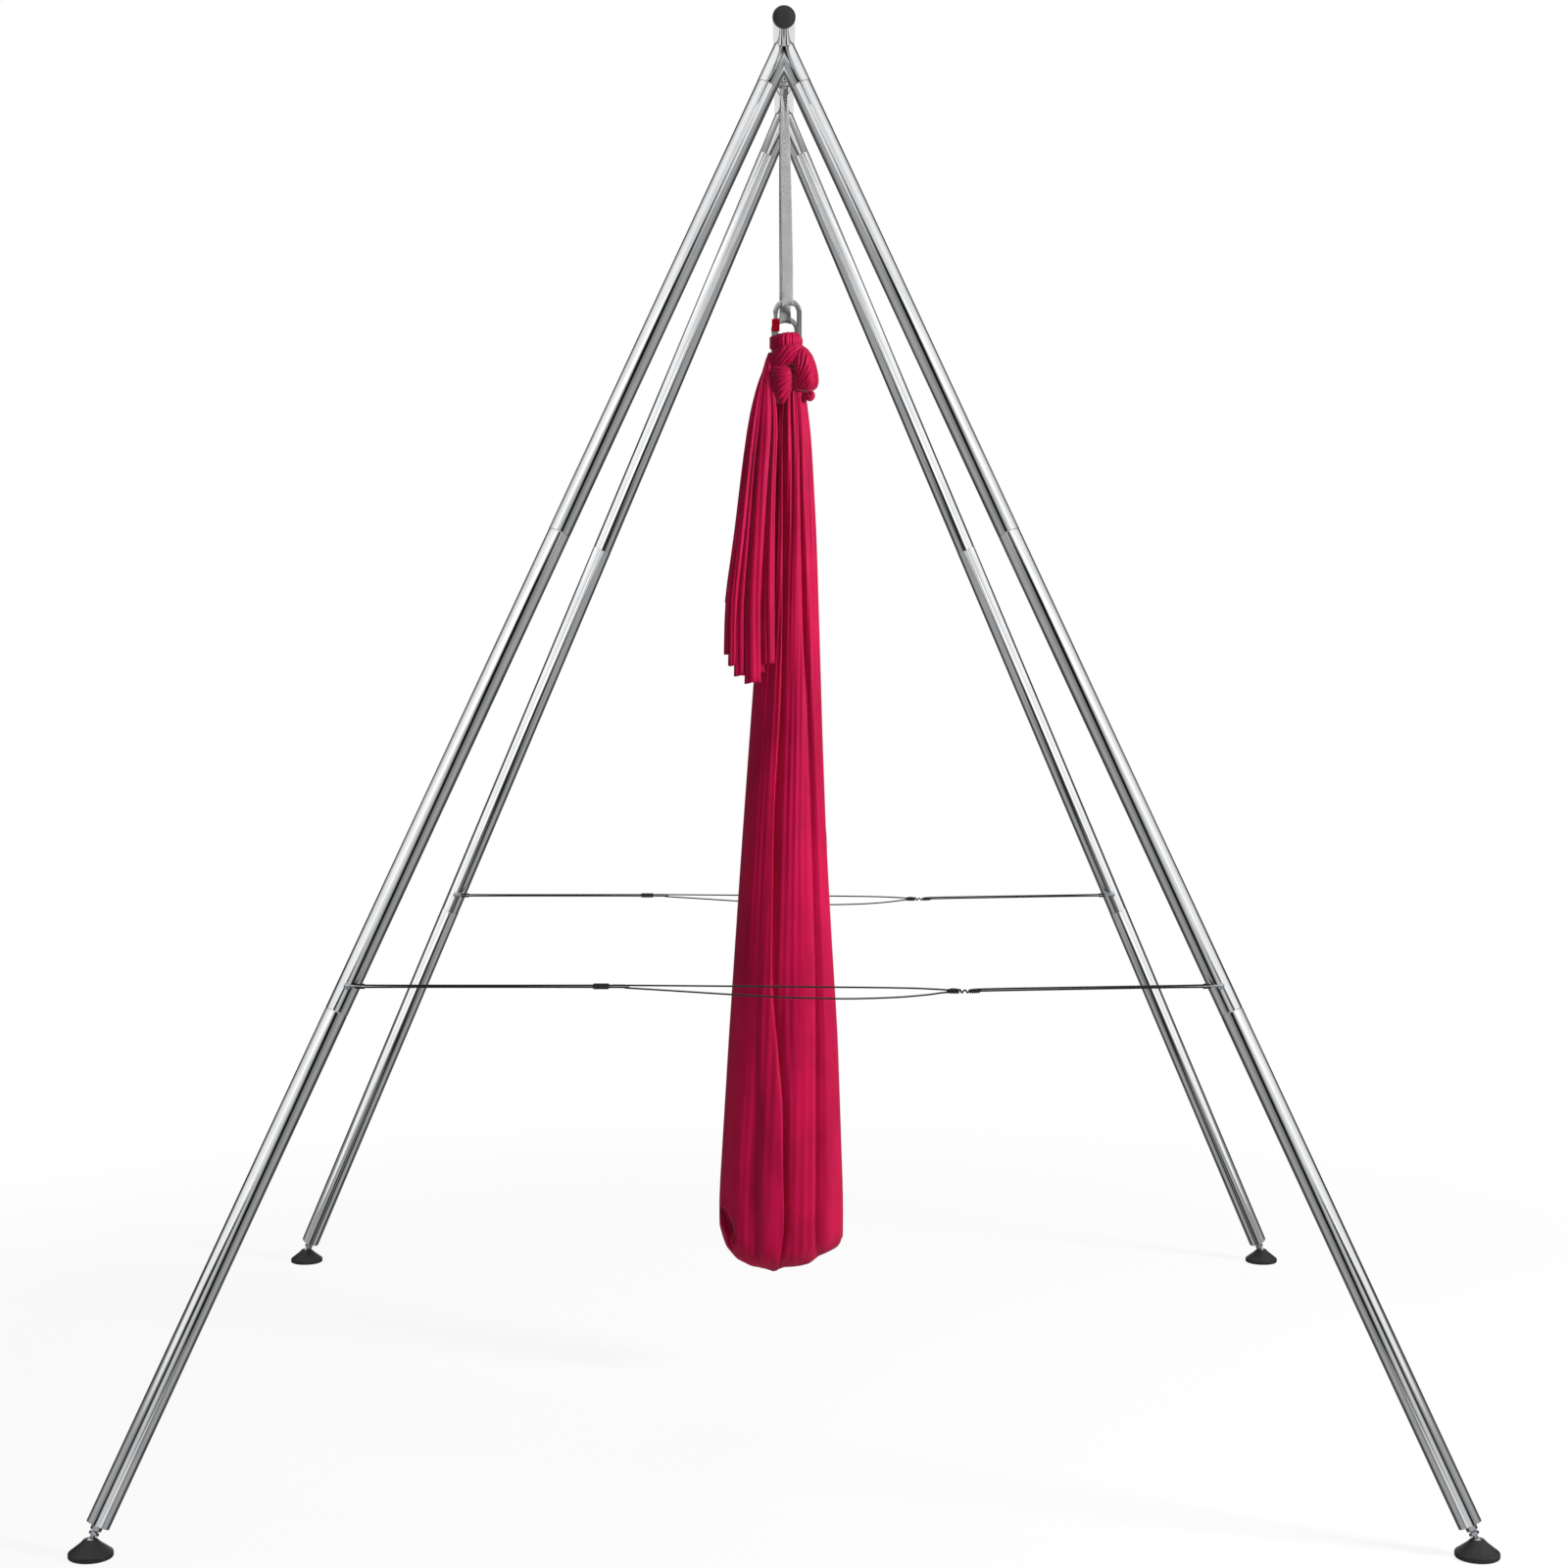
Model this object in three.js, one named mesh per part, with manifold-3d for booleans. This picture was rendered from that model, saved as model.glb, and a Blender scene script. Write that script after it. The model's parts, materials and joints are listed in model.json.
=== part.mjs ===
// Aerial rig: a four-legged tube stand whose top bar carries a webbing sling, two screw-gate
// carabiners and a knotted cloth hammock, with an elastic tether across the front and the rear legs.
// Millimetres, +Z up, the origin on the floor under the middle of the stand.

import * as THREE from 'three';
import { mergeVertices } from 'three/addons/utils/BufferGeometryUtils.js';
import Module from 'manifold-3d';

const wasm = await Module();
wasm.setup();

// Driving dimensions
const layout = {
  barAxisHeight: 2907.5,
  legAxesBelowBar: 24.5,
  apexHalfSpacing: 399,
  barPastApex: 189,
  footHalfSpanX: 1275,
  footHalfSpanY: 1152,
};
const tube = {
  diameter: 45,
  wall: 2,
  barWall: 2.5,
  stubLength: 88,
  weldReach: 8,
  neckLength: 80,
  neckTaper: 3,
  edge: 0.8,
  endToBall: 30.5,
};
const cap = { flangeRadius: 23, flangeThickness: 4, rim: 1.4, spigotLength: 18, spigotWall: 2.4 };
const foot = {
  ballHeight: 30,
  ballRadius: 8,
  neckRadius: 4.5,
  hexStart: 12,
  hexHeight: 6,
  hexFlats: 17,
  threadRadius: 6,
  studLength: 70,
  nutFlats: 19,
  nutHeight: 9.5,
  hexChamfer: 1.2,
  plugLength: 30,
};
const pad = {
  radius: 41.5,
  baseChamfer: 2.5,
  rimHeight: 10,
  rimRound: 3,
  topRadius: 12,
  lipChamfer: 0.9,
  socketGap: 0.35,
};
const bolt = {
  shankRadius: 2.5,
  headRadius: 5.2,
  headHeight: 3.2,
  aboveLowerJoint: 51.94,
  reachInside: 11,
  nutRadius: 5,
  nutLength: 5,
};
const hook = { wireRadius: 2, ringWireRadius: 1.6, shankRadius: 1.7, length: 30, slack: 0.5 };
const cord = { radius: 1.7, strandOffset: 1.85, bendRoom: 0.6, convergeLength: 18 };
const slider = { length: 31, height: 10.5, depth: 9, centre: -348, bevel: 1.2, bore: 0.3 };
const knot = { left: 309, length: 67, drop: 9.4, bite: 4 };
const webbing = {
  width: 25,
  thickness: 2.4,
  foldedThickness: 4.8,
  turnPitch: 26.2,
  turnGroove: 1.2,
  grooveDepth: 1,
  topWidth: 17,
  rollRadius: 3.2,
  throatHeight: 26,
  stitchedHeight: 70,
  loopSteps: 4,
  loopPlay: 1.4,
  leanX: 7.5,
  spacing: 20,
  rearLeanX: -5,
  frontHang: 486.3,
};
const carabiner = {
  rearDrop: 37,
  height: 126.2,
  width: 62.5,
  wireRadius: 5.5,
  noseRadius: 4.4,
  noseTop: 31,
  noseBottom: 22.8,
  gateGap: 0.5,
  hingeBelow: 26,
  tabThickness: 5,
  tabRadius: 4.5,
  forkPlay: 0.35,
  cheekThickness: 2.3,
  pinRadius: 1.5,
  shoulderRadius: 5.3,
  sleeveRadius: 8.6,
  sleeveLength: 27.8,
  sleeveEdge: 1.2,
  sleeveTopBelowNose: 4.5,
};
const gap = { seat: 0.3, tubeJoint: 0.4, run: 0.4, neck: 0.3, plug: 0.3, shaft: 0.08, cut: 5 };

// Facet counts
const sides = {
  bar: 20, tube: 14, pad: 16, hex: 6, small: 8, ring: 10, thin: 6, wire: 8, sleeve: 14, fold: 4,
};

const finish = {
  chrome: new THREE.MeshStandardMaterial({ color: '#c6c9cc', roughness: 0.16, metalness: 1 }),
  steel: new THREE.MeshStandardMaterial({ color: '#b9bcc0', roughness: 0.22, metalness: 1 }),
  capPlastic: new THREE.MeshStandardMaterial({ color: '#454545', roughness: 0.6, metalness: 0 }),
  blackPlastic: new THREE.MeshStandardMaterial({ color: '#1b1b1b', roughness: 0.5, metalness: 0 }),
  rubber: new THREE.MeshStandardMaterial({ color: '#262626', roughness: 0.75, metalness: 0 }),
  cord: new THREE.MeshStandardMaterial({ color: '#171716', roughness: 0.8, metalness: 0 }),
  webbing: new THREE.MeshStandardMaterial({ color: '#b2b1b2', roughness: 0.85, metalness: 0 }),
  redSleeve: new THREE.MeshStandardMaterial({ color: '#c3112c', roughness: 0.35, metalness: 0.6 }),
  cloth: new THREE.MeshStandardMaterial({ color: '#b0153f', roughness: 0.45, metalness: 0 }),
};

// Derived sizes
const tubeRadius = tube.diameter / 2;
const tubeInner = tubeRadius - tube.wall;
const neckOuter = tubeInner - gap.neck;
const neckInner = neckOuter - tube.wall;
const barHalfLength = layout.apexHalfSpacing + layout.barPastApex;
const apexHeight = layout.barAxisHeight - layout.legAxesBelowBar;
const up = new THREE.Vector3(0, 0, 1);
const camSide = new THREE.Vector3(0, -1, 0);
const mergeTolerance = 1e-3;
const facetFlat = Math.cos(Math.PI / sides.tube);

// The corner radius of a bore whose flats clear a shaft
const boreFor = (shaftRadius, count) => (shaftRadius + gap.shaft) / Math.cos(Math.PI / count);

const rig = new THREE.Group();

const vec = (x, y, z) => new THREE.Vector3(x, y, z);

// Adds one named piece, whose geometry is placed by a matrix where it isn't built in place.
function add(name, geometry, material, matrix) {
  const mesh = new THREE.Mesh(geometry, material);
  mesh.name = name;
  if (matrix) mesh.applyMatrix4(matrix);
  rig.add(mesh);
}

// Merges shared vertices, drops collapsed triangles and turns the faces outwards.
function closeBody(geometry) {
  const bare = new THREE.BufferGeometry().setAttribute('position', geometry.getAttribute('position'));
  if (geometry.index) bare.setIndex(geometry.index);
  const merged = mergeVertices(bare, mergeTolerance);
  const place = merged.getAttribute('position');
  const kept = [];
  let volume = 0;
  for (let i = 0; i < merged.index.count; i += 3) {
    const [a, b, c] = [0, 1, 2].map((k) => merged.index.getX(i + k));
    if (a === b || b === c || c === a) continue;
    kept.push(a, b, c);
    const [pa, pb, pc] = [a, b, c].map((k) => vec().fromBufferAttribute(place, k));
    volume += pa.dot(pb.cross(pc));
  }
  if (volume < 0) kept.reverse();
  merged.setIndex(kept);
  return merged;
}

function toSolid(geometry) {
  const body = closeBody(geometry);
  return new wasm.Manifold(new wasm.Mesh({
    numProp: 3,
    vertProperties: new Float32Array(body.getAttribute('position').array),
    triVerts: new Uint32Array(body.index.array),
  }));
}

function fromSolid(solid) {
  const mesh = solid.getMesh();
  const geometry = new THREE.BufferGeometry();
  geometry.setAttribute('position', new THREE.BufferAttribute(mesh.vertProperties.slice(), 3));
  geometry.setIndex(Array.from(mesh.triVerts));
  return geometry;
}

const unite = (...geometries) => wasm.Manifold.union(geometries.map(toSolid));

// A closed body turned round Z, from a profile of [radius, height] points.
function revolve(profile, count) {
  const points = profile.map(([radius, height]) => new THREE.Vector2(radius, height));
  return closeBody(new THREE.LatheGeometry(points, count).rotateX(Math.PI / 2));
}

// A curve stepped point by point, however far apart its points are.
class StepCurve extends THREE.Curve {
  constructor(points) {
    super();
    this.points = points;
  }

  getPoint(t, target = vec()) {
    const last = this.points.length - 1;
    const place = t * last;
    const index = Math.min(Math.floor(place + 1e-9), last - 1);
    return target.lerpVectors(this.points[index], this.points[index + 1], place - index);
  }

  getPointAt(u, target) {
    return this.getPoint(u, target);
  }

  getTangentAt(u, target) {
    return this.getTangent(u, target);
  }
}

// A solid rod of round section along a list of points.
function rod(points, radius, count) {
  const section = new THREE.Shape();
  for (let i = 0; i < count; i += 1) {
    const angle = ((i + 0.5) * 2 * Math.PI) / count;
    const [x, y] = [radius * Math.cos(angle), radius * Math.sin(angle)];
    if (i === 0) section.moveTo(x, y);
    else section.lineTo(x, y);
  }
  section.closePath();
  const settings = { steps: points.length - 1, bevelEnabled: false, extrudePath: new StepCurve(points) };
  return closeBody(new THREE.ExtrudeGeometry(section, settings));
}

// Points of an arc round a centre, where first and second are its unit directions at 0 and 90 degrees.
function arc(centre, first, second, radius, from, to, steps) {
  return Array.from({ length: steps + 1 }, (_, i) => {
    const angle = from + ((to - from) * i) / steps;
    return centre.clone().addScaledVector(first, radius * Math.cos(angle))
      .addScaledVector(second, radius * Math.sin(angle));
  });
}

// A closed body through rings of equal point counts, capped by a fan at both ends.
function loft(rings) {
  const count = rings[0].length;
  const points = rings.flat();
  const index = [];
  for (let level = 0; level < rings.length - 1; level += 1) {
    for (let i = 0; i < count; i += 1) {
      const [a, b] = [level * count + i, level * count + ((i + 1) % count)];
      index.push(a, b, b + count, a, b + count, a + count);
    }
  }
  [0, rings.length - 1].forEach((level) => {
    const middle = rings[level].reduce((sum, p) => sum.add(p), vec()).divideScalar(count);
    points.push(middle);
    for (let i = 0; i < count; i += 1) {
      const pair = [level * count + i, level * count + ((i + 1) % count)];
      if (level === 0) pair.reverse();
      index.push(pair[0], pair[1], points.length - 1);
    }
  });
  const geometry = new THREE.BufferGeometry().setFromPoints(points);
  geometry.setIndex(index);
  return closeBody(geometry);
}

const turned = (xAxis, yAxis, zAxis, place) => new THREE.Matrix4()
  .makeBasis(xAxis, yAxis, zAxis).setPosition(place);

// The straight line of one leg, from the meeting of the leg axes to the ball of its foot.
function legLine(sideX, sideY) {
  const apex = vec(0, sideY * layout.apexHalfSpacing, apexHeight);
  const ball = vec(sideX * layout.footHalfSpanX, sideY * layout.footHalfSpanY, foot.ballHeight);
  const down = ball.clone().sub(apex).normalize();
  const facing = camSide.clone().addScaledVector(down, -camSide.dot(down)).normalize();
  const across = down.clone().cross(facing);
  const at = (distance) => apex.clone().addScaledVector(down, distance);
  const frameAt = (distance) => turned(facing, across, down, at(distance));
  return { sideX, apex, ball, down, facing, at, frameAt, length: apex.distanceTo(ball) };
}

const legs = {
  front_left: legLine(-1, -1),
  front_right: legLine(1, -1),
  rear_left: legLine(-1, 1),
  rear_right: legLine(1, 1),
};
const legLength = legs.front_left.length;
const sectionLength = (legLength - tube.stubLength - tube.endToBall) / 3;
const tubeLength = sectionLength - gap.tubeJoint;
const boltAlongLeg = tube.stubLength + 2 * sectionLength - bolt.aboveLowerJoint;

// The top bar, one welded piece with its four stubs, each bored through
function topBar() {
  const barLength = 2 * barHalfLength;
  const place = (radius, length) => new THREE.CylinderGeometry(radius, radius, length, sides.bar)
    .translate(0, 0, layout.barAxisHeight);
  const stubOuter = [[0, -tube.weldReach], [tubeRadius, -tube.weldReach],
    [tubeRadius, tube.stubLength - tube.edge], [tubeRadius - tube.edge, tube.stubLength],
    [neckOuter, tube.stubLength], [neckOuter, tube.stubLength + tube.neckLength],
    [0, tube.stubLength + tube.neckLength]];
  const stubBore = [[0, -tube.weldReach], [tubeInner, -tube.weldReach],
    [tubeInner, tube.stubLength - tube.neckTaper], [neckInner, tube.stubLength],
    [neckInner, tube.stubLength + tube.neckLength + gap.cut],
    [0, tube.stubLength + tube.neckLength + gap.cut]];
  const atLeg = (profile, leg) => revolve(profile, sides.tube).applyMatrix4(leg.frameAt(0));
  const bar = place(tubeRadius, barLength);
  const stubs = Object.values(legs).map((leg) => atLeg(stubOuter, leg));
  const bores = Object.values(legs).map((leg) => atLeg(stubBore, leg));
  const barBore = toSolid(place(tubeRadius - tube.barWall, barLength + gap.cut));
  const cut = unite(...bores).subtract(toSolid(bar)).add(barBore);
  return fromSolid(unite(bar, ...stubs).subtract(cut));
}

// A cap: a flange with a rounded rim over the bar's end, and a hollow spigot inside the bar
function barCap() {
  const spigotRadius = tubeRadius - tube.barWall - gap.plug;
  const { flangeRadius, flangeThickness, rim, spigotLength, spigotWall } = cap;
  return revolve([[0, 0], [spigotRadius - spigotWall, 0], [spigotRadius - spigotWall, -spigotLength],
    [spigotRadius, -spigotLength], [spigotRadius, gap.seat], [flangeRadius, gap.seat],
    [flangeRadius, flangeThickness - rim], [flangeRadius - rim / 3, flangeThickness - rim / 3],
    [flangeRadius - rim, flangeThickness], [0, flangeThickness]], sides.bar);
}

// A leg tube from its top edge down, with a neck below it unless it is the lowest
function legTube(hasNeck) {
  const profile = [[tubeInner, 0], [tubeRadius - tube.edge, 0], [tubeRadius, tube.edge],
    [tubeRadius, tubeLength - tube.edge], [tubeRadius - tube.edge, tubeLength]];
  if (hasNeck) {
    profile.push([neckOuter, tubeLength], [neckOuter, tubeLength + tube.neckLength],
      [neckInner, tubeLength + tube.neckLength], [neckInner, tubeLength],
      [tubeInner, tubeLength - tube.neckTaper]);
  } else profile.push([tubeInner, tubeLength]);
  profile.push(profile[0]);
  return revolve(profile, sides.tube);
}

// The hole for the tether bolt, through one wall of a tube, in the tube's own frame
function boltHole(alongTube) {
  const radius = boreFor(bolt.shankRadius, sides.small);
  const hole = new THREE.CylinderGeometry(radius, radius, tubeRadius, sides.small).rotateZ(Math.PI / 2);
  return toSolid(hole.translate(tubeRadius, 0, alongTube));
}

// A hexagonal prism with chamfered rims, standing on the given height
function hexagon(flats, height, base) {
  const corner = flats / Math.sqrt(3);
  const low = corner - foot.hexChamfer;
  const top = base + height;
  return toSolid(revolve([[0, base], [low, base], [corner, base + foot.hexChamfer],
    [corner, top - foot.hexChamfer], [low, top], [0, top]], sides.hex));
}

// Points of a quarter-like arc in profile coordinates, measured from the top of a ball
function ballProfile(radius, fromAngle, toAngle, steps, height) {
  return Array.from({ length: steps + 1 }, (_, i) => {
    const angle = fromAngle + ((toAngle - fromAngle) * i) / steps;
    return [radius * Math.sin(angle), height + radius * Math.cos(angle)];
  });
}

// A levelling stud: ball, neck, hexagon and threaded shank, from the ball's centre up the leg
function footStud() {
  const neckAngle = Math.asin(foot.neckRadius / foot.ballRadius);
  const ball = ballProfile(foot.ballRadius, Math.PI, neckAngle, 7, 0);
  const top = foot.studLength;
  ball[0][0] = 0;
  const body = revolve([...ball, [foot.neckRadius, foot.hexStart], [foot.threadRadius, foot.hexStart],
    [foot.threadRadius, top - tube.edge], [foot.threadRadius - tube.edge, top], [0, top]], sides.small);
  return fromSolid(toSolid(body).add(hexagon(foot.hexFlats, foot.hexHeight, foot.hexStart)));
}

function footNut() {
  const base = tube.endToBall - gap.seat - foot.nutHeight;
  const bore = boreFor(foot.threadRadius, sides.small);
  const hole = new THREE.CylinderGeometry(bore, bore, foot.nutHeight * 2, sides.small)
    .rotateX(Math.PI / 2).translate(0, 0, base + foot.nutHeight / 2);
  return fromSolid(hexagon(foot.nutFlats, foot.nutHeight, base).subtract(toSolid(hole)));
}

// The threaded insert in the lowest tube's end, flush with the end
function legPlug() {
  const radius = tubeInner - gap.plug;
  const bore = boreFor(foot.threadRadius, sides.small);
  const base = tube.endToBall;
  const top = base + foot.plugLength;
  return revolve([[bore, base], [radius - tube.edge, base], [radius, base + tube.edge], [radius, top],
    [bore, top], [bore, base]], sides.tube);
}

// The rubber pad: a cone with a rounded rim and a socket that holds the stud's ball
const socketLipAngle = THREE.MathUtils.degToRad(68);
function footPad() {
  const socket = ballProfile(foot.ballRadius + pad.socketGap, socketLipAngle, Math.PI, 5, foot.ballHeight);
  const [lipRadius, lipHeight] = socket[0];
  const topHeight = lipHeight + pad.lipChamfer;
  const { radius, baseChamfer, rimHeight, rimRound, topRadius, lipChamfer } = pad;
  socket[socket.length - 1][0] = 0;
  const waist = [topRadius + (radius - topRadius) / 2, rimHeight + (topHeight - rimHeight) * 0.56];
  return revolve([[0, 0], [radius - baseChamfer, 0], [radius, baseChamfer], [radius, rimHeight - rimRound],
    [radius - rimRound / 3, rimHeight - rimRound / 3], [radius - rimRound, rimHeight + rimRound / 3], waist,
    [topRadius, topHeight], [lipRadius + lipChamfer, topHeight], ...socket], sides.pad);
}

// Where the tether hook's eye lies, out from the leg's axis
const eyeOut = tubeRadius + gap.seat + hook.wireRadius;

// A bolt pointing out of the leg, its domed head clear of the hook's eye, in a frame whose Z points out
function tetherBolt() {
  const head = eyeOut + hook.wireRadius + gap.seat;
  const dome = [[bolt.headRadius, head], [bolt.headRadius, head + bolt.headHeight * 0.35],
    [bolt.headRadius * 0.7, head + bolt.headHeight * 0.85], [0, head + bolt.headHeight]];
  return revolve([[0, bolt.reachInside], [bolt.shankRadius, bolt.reachInside], [bolt.shankRadius, head],
    ...dome], sides.small);
}

// The round nut behind the tube's wall, its face clear of the wall's facets
function tetherNut() {
  const face = Math.sqrt((tubeInner * facetFlat) ** 2 - bolt.nutRadius ** 2) - gap.seat;
  const bore = boreFor(bolt.shankRadius, sides.small);
  return revolve([[bore, face - bolt.nutLength], [bolt.nutRadius, face - bolt.nutLength],
    [bolt.nutRadius, face], [bore, face], [bore, face - bolt.nutLength]], sides.small);
}

// Everything that a leg's tether bolt carries is placed from its eye's centre and its pull direction
function tetherAnchor(leg) {
  const inward = vec(-leg.sideX, 0, 0).addScaledVector(leg.facing, leg.sideX * leg.facing.x).normalize();
  const eye = leg.at(boltAlongLeg).addScaledVector(leg.facing, eyeOut);
  const bend = hook.ringWireRadius + cord.bendRoom + cord.radius;
  const ring = eye.clone().addScaledVector(inward, hook.length);
  return { leg, inward, eye, ring, bend, bendCentre: ring.clone().addScaledVector(inward, bend) };
}

// A hook: an eye round the bolt, a straight shank and a level ring for the cord
function tetherHook({ leg, inward, eye, ring, bend }) {
  const eyeRadius = bolt.shankRadius + hook.slack + hook.wireRadius;
  const side = leg.facing.clone().cross(inward);
  const level = inward.clone().cross(up).normalize();
  const eyeRing = new THREE.TorusGeometry(eyeRadius, hook.wireRadius, sides.thin, sides.ring)
    .applyMatrix4(turned(inward, side, inward.clone().cross(side), eye));
  const endRing = new THREE.TorusGeometry(bend, hook.ringWireRadius, sides.thin, sides.small)
    .applyMatrix4(turned(inward, level, inward.clone().cross(level), ring));
  const from = eye.clone().addScaledVector(inward, eyeRadius);
  const to = ring.clone().addScaledVector(inward, -bend);
  return fromSolid(unite(eyeRing, endRing, rod([from, to], hook.shankRadius, sides.thin)));
}

// The lower strand's hang between slider and knot, as [x, drop] points chosen by hand
const sagPoints = [[-300, -3.2], [-200, -9.4], [-80, -17], [20, -21.8], [120, -23.9], [210, -21.4],
  [270, -16.6]];

// The knot's skin: two round bumps and a waist, wide enough at both faces for the strands it ties
const knotShares = [[0, 1], [0.06, 1.32], [0.2, 1.45], [0.34, 1.22], [0.5, 1], [0.64, 1.02], [0.8, 1.22],
  [0.93, 1.2], [1, 1]];
function tetherKnot(left) {
  const face = cord.strandOffset + cord.radius + gap.seat;
  const skin = knotShares.map(([along, size]) => [face * size, along * knot.length]);
  const body = revolve([[0, 0], ...skin, [0, knot.length]], sides.small);
  const place = vec(knot.left, left.bendCentre.y, left.bendCentre.z - knot.drop);
  return body.applyMatrix4(turned(vec(0, 1, 0), up, vec(1, 0, 0), place));
}

// One tether: a cord looped through the left hook and the slider, knotted, and looped through the right
function tetherCord(left, right) {
  const { strandOffset, convergeLength } = cord;
  const place = (x, drop) => vec(x, left.bendCentre.y, left.bendCentre.z + drop);
  const inX = (sign) => vec(sign, 0, 0);
  const bight = (anchor, out) => arc(anchor.bendCentre, up, inX(out), anchor.bend, 0, Math.PI, 5);
  const sliderEnd = slider.centre + slider.length / 2;
  const knotRight = knot.left + knot.length;
  const leftStart = left.bendCentre.x + convergeLength;
  const rightStart = right.bendCentre.x - convergeLength;
  const main = [place(knot.left + knot.bite, strandOffset - knot.drop), place(sliderEnd, strandOffset),
    place(leftStart, strandOffset), ...bight(left, -1), place(leftStart, -strandOffset),
    place(sliderEnd, -strandOffset), ...sagPoints.map(([x, drop]) => place(x, drop)),
    place(knot.left + knot.bite, -strandOffset - knot.drop)];
  const tail = [place(knotRight - knot.bite, strandOffset - knot.drop), place(rightStart, strandOffset),
    ...bight(right, 1), place(rightStart, -strandOffset),
    place(knotRight - knot.bite, -strandOffset - knot.drop)];
  const strands = [main, tail].map((points) => rod(points, cord.radius, sides.thin));
  return fromSolid(unite(tetherKnot(left), ...strands));
}

// The slider: a bevelled block with one slot for both strands
function tetherSlider(left) {
  const { length, height, depth, bevel, bore, centre } = slider;
  const bodyShape = new THREE.Shape();
  const [halfHeight, halfLength] = [height / 2 - bevel, length / 2 - bevel];
  bodyShape.moveTo(-halfLength, -halfHeight).lineTo(halfLength, -halfHeight)
    .lineTo(halfLength, halfHeight).lineTo(-halfLength, halfHeight).closePath();
  const body = new THREE.ExtrudeGeometry(bodyShape, {
    depth: depth - 2 * bevel, bevelThickness: bevel, bevelSize: bevel, bevelSegments: 2,
  }).translate(0, 0, bevel - depth / 2).rotateX(Math.PI / 2);
  const slotRadius = cord.radius + bore;
  const slotShape = new THREE.Shape();
  slotShape.absarc(0, cord.strandOffset, slotRadius, 0, Math.PI);
  slotShape.absarc(0, -cord.strandOffset, slotRadius, Math.PI, 2 * Math.PI);
  const slot = new THREE.ExtrudeGeometry(slotShape, { depth: 2 * length, bevelEnabled: false, curveSegments: 5 })
    .translate(0, 0, -length).applyMatrix4(turned(vec(0, 1, 0), up, vec(1, 0, 0), vec()));
  const solid = toSolid(body).subtract(toSolid(slot));
  return fromSolid(solid).translate(centre, left.bendCentre.y, left.bendCentre.z);
}

// The sling's turns round the bar: three turns of webbing side by side
const wrapInner = tubeRadius + gap.run;
const wrapOuter = wrapInner + webbing.thickness;
function slingWrap() {
  const floor = wrapOuter - webbing.grooveDepth;
  const half = (webbing.turnPitch - webbing.turnGroove) / 2;
  const skin = [-1, 0, 1].flatMap((turn) => {
    const middle = turn * webbing.turnPitch;
    const [start, end] = [middle - half, middle + half];
    return [[floor, start], [wrapOuter, start], [wrapOuter, end], [floor, end]];
  });
  const reach = webbing.turnPitch + half;
  const ring = revolve([[wrapInner, -reach], ...skin, [wrapInner, reach], [wrapInner, -reach]], sides.bar);
  return ring.rotateX(Math.PI / 2).translate(0, 0, layout.barAxisHeight);
}

// A carabiner is built in its own frame, centred on its window, with the gate on the left
const wireHalfWidth = carabiner.width / 2 - carabiner.wireRadius;
const wireHalfHeight = carabiner.height / 2 - carabiner.wireRadius;
const archHeight = wireHalfHeight - wireHalfWidth;
const gateTop = carabiner.noseBottom - carabiner.gateGap;
const gateX = -wireHalfWidth;

// The hanging assembly swings about a roll just under the turns
const swingHeight = layout.barAxisHeight - wrapOuter - gap.run - webbing.rollRadius;
const frontTop = layout.barAxisHeight - webbing.frontHang;
const wireTop = frontTop - carabiner.wireRadius;
const hangPlaces = {
  front: { x: webbing.leanX, y: -webbing.spacing / 2, top: wireTop },
  rear: { x: webbing.leanX + webbing.rearLeanX, y: webbing.spacing / 2, top: wireTop - carabiner.rearDrop },
};

// One hanging run: a strap from the roll down to a stitched loop bent over a carabiner's top
function slingRun({ x, y, top }) {
  const loopInner = carabiner.wireRadius + webbing.loopPlay;
  const loopOuter = loopInner + webbing.thickness;
  const throat = top + webbing.throatHeight;
  const stitched = top + webbing.stitchedHeight;
  const [half, folded] = [webbing.thickness / 2, webbing.foldedThickness / 2];
  const levels = [0.12, 0.3, 0.55, 0.8].map((share) => stitched + (swingHeight - stitched) * share);
  const centre = (z) => (y * (swingHeight - z)) / (swingHeight - stitched);
  const flankFrom = (sign) => [stitched, ...levels, swingHeight]
    .map((z) => [centre(z) + sign * half, z]);
  const outline = new THREE.Shape();
  outline.absarc(y, top, loopOuter, Math.PI, 2 * Math.PI);
  outline.lineTo(y + folded, throat);
  outline.lineTo(y + folded, stitched);
  flankFrom(1).forEach(([py, pz]) => outline.lineTo(py, pz));
  flankFrom(-1).reverse().forEach(([py, pz]) => outline.lineTo(py, pz));
  outline.lineTo(y - folded, stitched);
  outline.lineTo(y - folded, throat);
  outline.holes.push(new THREE.Path().absarc(y, top, loopInner, 0, 2 * Math.PI, true));
  const strap = new THREE.ExtrudeGeometry(outline, {
    depth: webbing.width, steps: webbing.loopSteps, bevelEnabled: false, curveSegments: 5,
  }).translate(0, 0, -webbing.width / 2).applyMatrix4(turned(vec(0, 1, 0), up, vec(1, 0, 0), vec()));
  const place = strap.getAttribute('position');
  for (let i = 0; i < place.count; i += 1) {
    const [px, pz] = [place.getX(i), place.getZ(i)];
    const rise = Math.max(0, pz - stitched) / (swingHeight - stitched);
    const narrow = 1 - (1 - webbing.topWidth / webbing.width) * rise ** 3;
    const bent = THREE.MathUtils.clamp((stitched - pz) / (stitched - throat), 0, 1);
    const archDrop = wireHalfWidth - Math.sqrt(wireHalfWidth ** 2 - px ** 2);
    place.setX(i, px * narrow + x * (1 - rise));
    place.setZ(i, pz - archDrop * bent);
  }
  return strap;
}

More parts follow.
